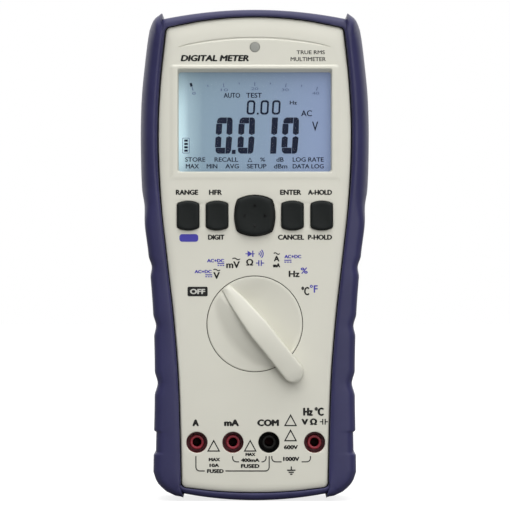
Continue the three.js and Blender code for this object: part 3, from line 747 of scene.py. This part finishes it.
def holster():
    """The band, the rails that stand proud of it, and a near-black inner lip that paints the shade in the gap
    beside the face.
    """
    piece("holster_band", band(), "holster_rubber", replaces=["holster"])
    for name, sign in (("holster_rail_left", -1), ("holster_rail_right", 1)):
        piece(name, rail(sign), "holster_rubber")
    # A thin near-black ring under the gap between the face and the rubber: painted shade that keeps the gap
    # dark.
    lip = Shell()
    edges = [(0.03, -16.75), (0.03, -17.2), (0.9, -17.2), (0.9, -16.75)]
    lip.loft(grown(lambda grow: face_outline(grow, grow, grow, 2.2), edges), closed=True)
    piece("holster_lip_painted_shade", lip, "holster_rubber", material="dark_plastic", sharp=30)


# ---- keys and pad

# From the hidden flange to the crown: growth and y.
KEY_RINGS = [
    (0.7, -14.8), (0.7, -15.8), (0, -15.8), (0, -19.2), (-0.06, -19.6), (-0.25, -19.88), (-0.55, -20.05),
    (-0.95, -20.1), (-1.5, -20.06), (-2.2, -19.98), (-3.1, -19.9),
]
KEY_MIDDLE = -19.86
PAD_RINGS = [
    (0.75, -14.5), (0.75, -15.2), (-0.02, -15.2), (-0.02, -19.5), (-0.1, -20.1), (-0.35, -20.5),
    (-0.8, -20.72), (-1.5, -20.8), (-2.6, -20.74), (-3.8, -20.6), (-4.9, -20.48), (-5.6, -20.44),
]
PAD_MIDDLE = -20.42
ARROW_RINGS = [(0, -20.3), (0, -20.78), (-0.12, -20.86)]
ARROW_TIP, ARROW_BASE, ARROW_HALF = 4.95, 3.85, 0.75


def push_key(name, x):
    """A key with a soft edge and a slightly dished top."""
    shell = Shell().dome(grown(partial(key_outline, x), KEY_RINGS), (x, KEY_MIDDLE, KEY_Z))
    body = name.replace("key_", "") + "_key"
    piece(name + "_cap", shell, "key_rubber", body=body, replaces=[name], sharp=60, weighted=True)


def nav_pad():
    """Four-way pad, dished in the middle, with a raised arrow towards each side."""
    shell = Shell().dome(grown(pad_outline, PAD_RINGS), (0, PAD_MIDDLE, KEY_Z))
    piece("nav_pad_cap", shell, "key_rubber", body="nav_cap", replaces=["nav_pad"], sharp=60, weighted=True)
    arrows = Shell()
    for turn in range(4):
        c = cos(pi / 2 * turn)
        s = sin(pi / 2 * turn)
        rings = []
        for grow, y in ARROW_RINGS:
            base = ARROW_BASE - grow
            half = ARROW_HALF + grow
            corners = [(ARROW_TIP + grow, 0), (base, half), (base, -half)]
            rings.append(at([(u * c - v * s, KEY_Z + u * s + v * c) for u, v in corners], y))
        arrows.loft(rings, first_cap=True, last_cap=True)
    piece("nav_arrows", arrows, "dark_plastic", body="nav_cap", sharp=40)


# ---- selector

# u runs along the handle, from its tail (-) to its tip (+), and v across it.
TAIL = -25.5  # where the round tail begins
HANDLE_STATIONS = [
    (TAIL, 4.4), (-18, 4.35), (-11, 4.35), (-3.6, 4.5), (4, 4), (10, 3.45), (14.8, 2.85), (19.9, 1.85),
]
HANDLE_CROWN = [
    (-32, -22.7), (-26, -23.2), (-18, -24.3), (-10, -24.95), (-3, -24.95), (4, -24), (10, -22.5),
    (16, -20.8), (21, -19.3),
]
HANDLE_EDGE = [(0, 0), (0.08, 0.38), (0.2, 0.62), (0.45, 0.85), (0.8, 0.97), (1.25, 1)]  # inward, lift
HANDLE_FLANK = [(1, 0), (0.5, 0.1), (0.18, 0.28), (0, 0.55)]  # flare, climb
DISC_EDGE = 19.35
RELIEF_RADIUS = 19.4
FLANK_SLOPE = 0.36
BESIDE_HANDLE = 4
SUNK = 1.9


def knob_point(u, v, y):
    c = cos(DIAL_REST)
    s = sin(DIAL_REST)
    return (u * c - v * s, y, DIAL_Z + u * s + v * c)


def handle_half(u):
    """Half-width of the handle: it widens from the blunt tip to the rounded tail."""
    if u >= TAIL:
        return along(HANDLE_STATIONS, min(u, 19.9))
    t = min(1, (TAIL - u) / 4.48)
    return 4.4 * sqrt(max(0, 1 - t * t))


def handle_top(u):
    """The handle's crown, as y: it falls towards the tip and the tail."""
    return along(HANDLE_CROWN, u) + 0.9 * max(0, (-24.5 - u) / 5.4) ** 2


def handle_section(u):
    """(v, y) points round the handle: both flanks flare where they meet the disc."""
    half = max(handle_half(u), 0.06)
    top = handle_top(u)
    base = -16 if u > -19 else -19.1
    fillet = min(1.25, half * 0.8)
    crown_points = [(half - inward / 1.25 * fillet, top + (1 - lift) * 1.1) for inward, lift in HANDLE_EDGE]
    crown_points.append((half * 0.35, top - 0.14))
    spread = 0.7 * smooth((u + 19) / 6)
    lower = [(half + flare * spread, base + (top - base) * climb) for flare, climb in HANDLE_FLANK]
    upper = [(half, y) for _, y in lower]
    return lower + crown_points + [(-v, y) for v, y in reversed(upper + crown_points)]


def disc_relief(u, v):
    """Depth of the disc's face: a flank rises to the handle on one side, and a facet sinks on the other."""
    chord = max(0, 1 - (u / RELIEF_RADIUS) ** 2)
    if v > 0:
        reach = max(10 * chord ** 0.6, 0.5)
        bend = 0.35 * reach
        run = max(0, reach + BESIDE_HANDLE - max(v, BESIDE_HANDLE))
        rise = run ** 2 / (2 * bend) if run < bend else run - bend / 2
        return -FLANK_SLOPE * rise
    reach = 18.6 * chord ** 0.5
    share = max(0, min(1, (reach + v) / max(reach - BESIDE_HANDLE, 0.4)))
    return SUNK * share * smooth((RELIEF_RADIUS - u) / 12)


def selector():
    """The disc, a near-black ring in the slot round it that is painted shade, and the long pointer handle."""
    rings = [(19.84, -15.9), (19.84, FACE + 0.4), (19.7, FACE + 0.26)]
    rings += [(radius, FACE + 0.2) for radius in [DISC_EDGE] + spaced(18.95, 0.9, 42)]
    surface = []
    for radius, y in rings:
        share = smooth((DISC_EDGE - radius) / 0.8)
        around = circle(0, 0, radius, 180)
        surface.append([knob_point(u, v, y + disc_relief(u, v) * share) for u, v in around])
    disc = Shell().dome(surface, knob_point(0, 0, FACE + SUNK))
    piece("selector_disc", disc, "case_cream", body="selector", replaces=["selector_knob"])

    # A thin near-black ring down in the slot between the disc and the face: painted shade that keeps the slot
    # dark.
    edges = [(19.86, -17.9), (20.09, -17.9), (20.09, -16.2), (19.86, -16.2)]
    slot_shade = Shell().turned(0, DIAL_Z, edges, 128)
    piece("dial_slot_painted_shade", slot_shade, "dark_plastic", sharp=30)

    stations = [19.4, 19.2, 18.7, 18, 17, 15.5, 14, 12] + spaced(10, -25, 36)
    stations += [-25.9, -26.7, -27.4, -28.1, -28.7, -29.2, -29.6, -29.85, -29.97]
    handle = Shell().bar([[knob_point(u, v, y) for v, y in handle_section(u)] for u in stations])
    piece("selector_handle", handle, "case_cream", body="selector")


# ---- jacks and sensor

# Round a jack's shroud: radius and y.
SHROUD = [
    (4.4, -15.6), (4.5, -15.8), (5, -15.8), (5, 3.7), (1.3, 3.7), (1.3, 2.2), (2.6, 2.2), (2.6, -13.6),
    (1.85, -13.6), (1.83, -13.85), (1.92, -14.04), (2.08, -14.12), (2.7, -14.12), (2.88, -14.04),
    (2.96, -13.8), (3, -7), (4.4, -7),
]


def sensor_window():
    profile = [(2.12, -15.2 - FACE), (2.12, 0.24), (2.02, 0.12), (1.7, 0.06), (1, 0.04)]
    rings = grown(partial(circle, 0, SENSOR_Z, count=48), profile, FACE)
    shell = Shell().dome(rings, (0, FACE + 0.03, SENSOR_Z))
    piece("sensor_window", shell, "sensor_window", replaces=["sensor_lens"])


def jack(name, x):
    slot = "jack_black" if name == "jack_com" else "jack_red"
    piece(name + "_shroud", Shell().turned(x, JACK_Z, SHROUD), slot, replaces=[name])


# ---- lettering

# How far each stroke of a legend is thickened.
FACE_WEIGHT = 0.18
JACK_WEIGHT = 0.3
BLUE_WEIGHT = 0.13
HEADING_WEIGHT = 0.24
SMALL_WEIGHT = 0.05
GLASS_WEIGHT = 0.07


class Ink(Shell):
    """Thin raised marks on a flat face."""

    def __init__(self, y, thickness=0.05):
        super().__init__()
        self.front = y - thickness
        self.back = y + 0.02

    def polygon(self, points):
        front = self.ring(at(points, self.front))
        back = self.ring(at(points, self.back))
        self.bridge(front, back)
        self.cap([front])
        self.cap([back])

    def band(self, outer, inner):
        outer_front, outer_back, inner_front, inner_back = (
            self.ring(at(points, y)) for points in (outer, inner) for y in (self.front, self.back)
        )
        self.bridge(outer_front, outer_back)
        self.bridge(inner_front, inner_back)
        self.cap([outer_front, inner_front])
        self.cap([outer_back, inner_back])

    def line(self, points, width=0.42):
        """A stroked open line."""
        left = []
        right = []
        for (ax, az), (x, z), (bx, bz) in zip(points[:1] + points, points, points[1:] + points[-1:]):
            run = Vector((bx - ax, bz - az)).normalized() * width / 2
            left.append((x - run.y, z + run.x))
            right.append((x + run.y, z - run.x))
        self.polygon(left + right[::-1])

    def text(self, words, x0, x1, z0, z1, weight, lean=0):
        """Built-in lettering, scaled to fill a box. Close copies of it thicken every stroke by the weight."""
        points, faces = letter_mesh(words)
        low = [min(p[k] for p in points) for k in range(2)]
        high = [max(p[k] for p in points) for k in range(2)]
        rise = 0.6 * weight
        for layer, (right, up) in enumerate([(-weight, 0), (weight, 0), (0, -rise), (0, rise)]):
            start = len(self.verts)
            for px, py, depth in points:
                height = (z1 - z0 - 1.2 * weight) * (py - low[1]) / (high[1] - low[1])
                across = (x1 - x0 - 2 * weight) * (px - low[0]) / (high[0] - low[0])
                x = x0 + weight + across + lean * height + right
                y = self.front + 0.004 * layer if depth > 0 else self.back
                self.verts.append((x, y, z0 + rise + height + up))
            self.faces += [tuple(start + i for i in face) for face in faces]

    def rows(self, weight, rows):
        """Lettering in rows: (lower edge, upper edge, [(words, left, right), ...])."""
        for z0, z1, row in rows:
            for words, x0, x1 in row:
                self.text(words, x0, x1, z0, z1, weight)

    def finish(self, name, slot, material):
        piece(name, self, slot, material=material, sharp=40)


def letter_mesh(words):
    """Vertices and faces of solid letters in the built-in typeface."""
    curve = bpy.data.curves.new("lettering", "FONT")
    curve.body = words
    curve.extrude = 0.5
    curve.resolution_u = 3
    holder = bpy.data.objects.new("lettering", curve)
    mesh = bpy.data.meshes.new_from_object(holder)
    points = [tuple(v.co) for v in mesh.vertices]
    faces = [tuple(face.vertices) for face in mesh.polygons]
    bpy.data.objects.remove(holder)
    bpy.data.curves.remove(curve)
    bpy.data.meshes.remove(mesh)
    return points, faces


def wave(x0, x1, z):
    return [(x, z + 0.32 * sin(2 * pi * (x - x0) / (x1 - x0))) for x in spaced(x0, x1, 13)]


def triangle_mark(ink, x, z, half=2.75, height=5.1, stroke=0.5):
    low = z - height / 2
    high = z + height / 2
    inset = stroke * 1.6
    outer = [(x - half, low), (x + half, low), (x, high)]
    inner = [(x - half + inset, low + stroke), (x + half - inset, low + stroke), (x, high - stroke * 2.1)]
    ink.band(outer, inner)


def bracket(ink, x0, x1, top, foot, gap):
    """A rounded bracket under two jacks, left open for the words in its foot."""
    radius = 1.6
    corner = [(radius * (1 - cos(a)), radius * (1 - sin(a))) for a in spaced(0, pi / 2, 7)]
    for end, side, stop in ((x0, 1, gap[0]), (x1, -1, gap[1])):
        ink.line([(end, top)] + [(end + side * dx, foot + dz) for dx, dz in corner] + [(stop, foot)], 0.46)


def direct_mark(ink, x0, x1, z):
    """A solid bar over three dashes, for direct current."""
    ink.line([(x0, z + 0.45), (x1, z + 0.45)])
    dash = (x1 - x0) / 3.8
    for k in range(3):
        start = x0 + k * (x1 - x0 - dash) / 2
        ink.line([(start, z - 0.35), (start + dash, z - 0.35)])


def capacitor_mark(ink, x, z):
    """Two plates and their leads."""
    for sign in (-1, 1):
        plate = x + sign * 0.5
        ink.line([(plate, z - 1.2), (plate, z + 1.2)], 0.48)
        ink.line([(plate, z), (x + sign * 1.7, z)])


def earth_mark(ink, x):
    ink.line([(x, 14.3), (x, 12.7)], 0.5)
    for half, z in ((1.75, 12.7), (1.1, 11.85), (0.5, 11.05)):
        ink.line([(x - half, z), (x + half, z)], 0.55)


def diode_mark(ink, x, z):
    ink.polygon([(x - 2, z - 1.3), (x - 2, z + 1.3), (x + 0.1, z)])
    ink.line([(x + 0.2, z - 1.3), (x + 0.2, z + 1.3)], 0.5)
    ink.line([(x - 2.9, z), (x - 1.9, z)], 0.36)
    ink.line([(x + 0.1, z), (x + 1, z)], 0.36)


def sound_mark(ink, x, z):
    """Three arcs, one outside another."""
    for radius in (0.7, 1.5, 2.3):
        arc = [(x + radius * cos(a), z + radius * sin(a)) for a in spaced(-0.8, 0.8, 7)]
        ink.line(arc, 0.44)


def black_legends():
    black = Ink(FACE)
    black.rows(FACE_WEIGHT, [
        (127.3, 129.5, [("RANGE", -32.9, -23.5), ("HFR", -19.1, -13.6), ("ENTER", 10.5, 19.4)]),
        (127.3, 129.5, [("A-HOLD", 22.1, 32.2)]),
        (108.6, 110.8, [("DIGIT", -19.5, -12.6), ("CANCEL", 9.6, 20.6), ("P-HOLD", 22.1, 32.2)]),
        (92.3, 95.2, [("V", -17.3, -14.5)]), (96.8, 99.7, [("mV", -11.9, -6.2)]),
        (97.9, 100.7, [("Ω", -3.6, -0.6)]), (99.6, 102, [("A", 7.9, 10.3)]),
        (97.1, 98.9, [("mA", 7.6, 10.6)]), (93.1, 95.8, [("Hz", 14.1, 18.7)]),
        (85.5, 89.2, [("°C", 19.4, 22.7)]),
    ])
    black.rows(JACK_WEIGHT, [
        (31, 33.9, [("A", -26, -23.2), ("mA", -12.8, -6.5), ("COM", 1, 10.1)]),
        (35.3, 39, [("Hz °C", 20.1, 28.8)]), (31.5, 34.3, [("V Ω", 19.4, 26)]),
    ])
    for x0, x1, z in ((-17.2, -14.4, 96.1), (-9.3, -6.1, 100.7), (7.9, 10.4, 102.9)):
        black.line(wave(x0, x1, z))
    black.rows(FACE_WEIGHT, [
        (16.4, 17.9, [("MAX", -19.2, -14.4)]), (14, 15.5, [("10A", -18.9, -14.8)]),
        (11.5, 13.2, [("FUSED", -19.9, -12.9)]), (18.6, 20, [("MAX", -3.9, 0.3)]),
        (16.1, 17.7, [("400mA", -5.8, 2)]), (13.6, 15.3, [("FUSED", -5.8, 2)]),
        (21.4, 23.2, [("600V", 12.1, 18)]), (16.5, 18.3, [("1000V", 11.8, 18.6)]),
    ])
    for x, z in ((-17.1, 23), (-1.9, 23), (14.9, 27.3), (14.9, 33.6)):
        triangle_mark(black, x, z)
    bracket(black, -24.5, 6, 18.6, 12.4, (-20.8, -12.2))
    bracket(black, -9.2, 4.7, 18.6, 16.2, (-6.6, 2.8))
    bracket(black, 7.1, 23.2, 18.6, 16.2, (11.2, 19.5))
    earth_mark(black, 15.2)
    capacitor_mark(black, 28.8, 32.9)
    black.polygon(rectangle(4.2, 85.1, 89.1, 0.6, x=-23.8))
    black.finish("legend_black", "case_cream", "ink_black")

    white = Ink(FACE - 0.05)
    white.text("OFF", -27, -20.6, 86, 88.2, FACE_WEIGHT)
    white.finish("legend_white", "case_cream", "ink_white")


def blue_legends():
    blue = Ink(FACE)
    blue.rows(BLUE_WEIGHT, [
        (94.7, 96.1, [("AC+DC", -25.1, -17.9)]), (99.2, 100.7, [("AC+DC", -19.9, -12.7)]),
        (100.9, 102.4, [("AC+DC", 12.3, 19.4)]), (94.5, 97.1, [("%", 19.1, 22.1)]),
        (86.6, 89.9, [("°F", 22.9, 26.2)]),
    ])
    for x0, x1, z in ((-20.6, -17.7, 93.6), (-15.5, -12.7, 98.3), (12.3, 15.3, 99.7)):
        direct_mark(blue, x0, x1, z)
    diode_mark(blue, -1, 102.8)
    sound_mark(blue, 1.2, 102.8)
    capacitor_mark(blue, 2.2, 98.95)
    blue.polygon(rectangle(3.95, 107.8, 111, 1.2, x=-27.45))
    blue.finish("legend_blue", "case_cream", "ink_blue")


def heading():
    black = Ink(FACE)
    black.text("DIGITAL METER", -30.9, -2.4, 182.9, 185.6, HEADING_WEIGHT, lean=0.2)
    black.text("TRUE RMS", 17.4, 29.2, 185.9, 187.5, SMALL_WEIGHT)
    black.text("MULTIMETER", 14.9, 29.6, 183, 184.7, SMALL_WEIGHT)
    black.finish("legend_heading", "case_cream", "ink_black")


# ---- display

LEAN = 0.055
DIGIT_WIDTH = 6.95
DIGIT_HEIGHT = 15.1
DIGIT_STROKE = 2.5
DIGIT_FOOT = 144.6
SCALE_HALF = 26.2  # half-width of the arched scale over the digits
BATTERY_X = -28.7


def digit_shapes(lit):
    """Polygons of one digit's lit segments, named a to g. B and C are b and c with square outer corners."""
    w = DIGIT_WIDTH
    t = DIGIT_STROKE
    middle = DIGIT_HEIGHT / 2
    gap = 0.14
    rounded = [(0.25, 1.5), (0.6, 0.55), (1.5, 0)]
    tip = [(x, middle - z) for x, z in ((t, 0.85), (t / 2, 0.2), (0, 0.85))]
    right_tip = [(x + w - t, z) for x, z in tip]

    def upper(points):
        return [(x, DIGIT_HEIGHT - z) for x, z in points]

    bottom_bar = [(0.35, t)] + rounded + [(w - t - gap, 0), (w - t - gap, t)]
    left_bar = [(0, t + gap), (t, t + gap)] + tip
    corner = [(w - x * 0.8, z * 0.8) for x, z in reversed(rounded)]
    right_bar = [(w - t, 0)] + corner + right_tip
    square_bar = [(w - t, 0), (w, 0)] + right_tip
    shapes = {
        "d": bottom_bar, "a": upper(bottom_bar), "e": left_bar, "f": upper(left_bar),
        "c": right_bar, "b": upper(right_bar), "C": square_bar, "B": upper(square_bar),
    }
    return [shapes[letter] for letter in lit]


def small_zero(ink, x, z):
    """A thin rounded zero."""
    width = 3.5
    height = 6

    def loop(inset, radius):
        corners = [
            (width - inset, inset, radius), (width - inset, height - inset, radius),
            (inset, height - inset, radius), (inset, inset, radius),
        ]
        return [(x + px + LEAN * pz, z + pz) for px, pz in round_corners(corners, 5)]

    ink.band(loop(0, 1.25), loop(0.8, 0.6))


def display_segments():
    dark = Ink(GLASS, 0.04)
    for x, lit in ((-16.75, "abcdef"), (-7.4, "abcdef"), (1.95, "BC"), (10.95, "abcdef")):
        for shape in digit_shapes(lit):
            dark.polygon([(x + px + pz * LEAN, DIGIT_FOOT + pz) for px, pz in shape])
    dark.polygon([(-9.65, 144.5), (-8.05, 144.5), (-7.95, 146.2), (-9.55, 146.2)])
    for x in (-3.5, 2.2, 7.05):
        small_zero(dark, x, 160.9)
    dark.polygon([(0.85, 160.9), (1.6, 160.9), (1.65, 161.7), (0.9, 161.7)])
    dark.rows(GLASS_WEIGHT, [
        (167.9, 170, [("AUTO", -13, -6.1), ("TEST", -3.6, 3)]),
        (165.1, 166.7, [("Hz", 14.6, 17.6)]), (160.2, 162.7, [("AC", 19.3, 23.9)]),
        (154.1, 158, [("V", 23.9, 26.5)]),
        (141.2, 143.1, [("STORE", -29.1, -20.6), ("RECALL", -16.8, -6.9)]), (141.3, 143, [("%", 2.2, 4.4)]),
        (141.2, 143.1, [("dB", 9, 12.1), ("LOG RATE", 15.8, 28.8)]),
        (138.4, 140.3, [
            ("MAX", -28.8, -23.3), ("MIN", -20.1, -15.6), ("AVG", -12.3, -6.6), ("SETUP", -3.3, 4.9),
            ("dBm", 8, 13.6), ("DATA LOG", 15.8, 28.8),
        ]),
    ])
    triangle_mark(dark, -2, 142.1, 1, 1.9, 0.25)
    for k in range(4):
        dark.polygon(rectangle(0.75, 145.4 + 1.4 * k, 146.3 + 1.4 * k, 0.1, steps=2, x=BATTERY_X))
    dark.line([(-26.75, 174.1), (-26.35, 172.6)], 0.95)
    dark.finish("lcd_segments", "lcd", "segment_dark")


def display_scale():
    """Faint battery outline, and an arched scale with every other tick long and numbered."""
    faint = Ink(GLASS, 0.02)
    battery = [(1.5, 144.7, 151.2, 0.3), (1.25, 144.95, 150.95, 0.2)]
    faint.band(*(rectangle(*edge, steps=2, x=BATTERY_X) for edge in battery))
    for k in range(9):
        x = 6.55 * k - SCALE_HALF
        z = 174.4 - 1.9 * (x / SCALE_HALF) ** 2
        inward = -0.28 * x / SCALE_HALF
        tall = 1.6 if k % 2 == 0 else 0.8
        faint.line([(x, z), (x + inward * tall, z - tall)], 0.4)
        if k % 2 == 0:
            label = str(5 * k)
            wide = 0.75 * len(label)
            middle = x + inward * 2.9
            faint.text(label, middle - wide, middle + wide, z - 3.3, z - 2.1, SMALL_WEIGHT)
    faint.finish("lcd_ticks", "lcd", "segment_faint")


# ---- carried-over CAD nodes

# Width of the rounding on a CAD node's edges.
BEVELLED = {
    "battery": 0.6, "rear_case": 0.35, "tilt_stand": 0.35, "battery_door": 0.3, "battery_snap": 0.3,
    "buzzer": 0.3, "board_header": 0.2, "fuse_10a": 0.2, "fuse_400ma": 0.2, "ir_window": 0.2,
    "lcd_frame": 0.2, "current_shunt": 0.15, "meter_chip": 0.15, "input_pcb": 0.12, "main_pcb": 0.12,
}


def dress_nodes():
    """Gives every CAD node its material, but the socket contacts a near-black one that paints the shade
    inside the sockets, and rounds some edges.
    """
    slots = {entry["node"]: entry["material_slot"] for entry in frame["record"]["subparts"]}
    for name, node in frame["nodes"].items():
        # Contacts deep in the sockets take the near-black metal: painted shade for the dark inside each
        # socket.
        in_socket = name.startswith("jack_contact")
        node.data.materials.clear()
        node.data.materials.append(MATERIALS["contact_painted_shade" if in_socket else slots[name]])
        if name in BEVELLED:
            bevel = node.modifiers.new("edges", "BEVEL")
            bevel.width = BEVELLED[name] * MM
            bevel.segments = 3
            bevel.limit_method = "ANGLE"
            bevel.angle_limit = radians(35)
            bevel.harden_normals = False


# ---- stage

# How brightly the surroundings light the meter, along an axis from -1 to 1.
WORLD_LEVELS = {
    "Y": [(-1, 0.12), (-0.4, 0.1), (0, 0.08), (0.3, 0.3), (0.6, 1.1)],
    "Z": [(0, 0), (0.35, 0), (0.6, 0.9), (1, 2)],
}
LIGHTS = [
    ("key_light", (0.38, -1.25, 0.35), 1, 7.4),
    ("top_light", (0.05, -0.55, 1.1), 1.2, 9.5),
]
LIT_POINT = (0, 0, 0.1)


def studio_world():
    """White where the camera sees it; it lights from behind and above, and dimly from in front."""
    world = bpy.data.worlds.new("studio")
    nodes = Nodes(world, "Background", "Generated")
    direction = nodes.add("SeparateXYZ", Vector=nodes.coordinates).outputs
    levels = []
    for axis, stops in WORLD_LEVELS.items():
        factor = nodes.rescale(direction[axis], -1, 1)
        levels.append(nodes.ramp(factor, [((place + 1) / 2, grey(level)) for place, level in stops]))
    light = nodes.mix(1, levels[0], levels[1], "LIGHTEN")
    seen = nodes.add("LightPath").outputs["Is Camera Ray"]
    nodes.set(Color=nodes.mix(seen, light, WHITE))
    scene.world = world


def floor_material():
    """Nearly white where the camera sees it, but it throws little light up at the meter."""
    nodes = Nodes("floor_pale")
    seen = nodes.add("LightPath").outputs["Is Camera Ray"]
    nodes.set(Base_Color=(*grey(0.22), 1), Roughness=0.9)
    nodes.set(Emission_Color=WHITE, Emission_Strength=nodes.multiply(seen, 0.8))
    return nodes.owner


def stage():
    bpy.ops.mesh.primitive_plane_add(size=8, location=(0, 0, -0.0002))
    floor = bpy.context.object
    floor.name = "floor"
    floor.data.materials.append(floor_material())
    studio_world()
    for name, place, size, power in LIGHTS:
        light = bpy.data.lights.new(name, "AREA")
        light.size = size
        light.energy = power
        holder = add_object(name, light)
        holder.location = place
        holder.rotation_euler = (Vector(LIT_POINT) - Vector(place)).to_track_quat("-Z", "Y").to_euler()


def camera():
    """Straight on from the front, far away on a long lens."""
    distance = 1.6
    frame_height = 0.2125
    lens = bpy.data.cameras.new("camera")
    lens.sensor_width = 36
    lens.lens = lens.sensor_width * distance / frame_height
    lens.clip_end = 50
    holder = add_object("camera", lens)
    holder.location = (0.0001, -0.017 - distance, 0.1023)
    holder.rotation_euler = (pi / 2, 0, 0)
    scene.camera = holder


scene.view_settings.view_transform = "Standard"
camera()
dress_nodes()
front_case()
holster()
for key_name, key_x in KEY_COLUMNS.items():
    push_key(key_name, key_x)
nav_pad()
selector()
for jack_name, jack_x in JACK_COLUMNS.items():
    jack(jack_name, jack_x)
sensor_window()
black_legends()
blue_legends()
heading()
display_segments()
display_scale()
stage()
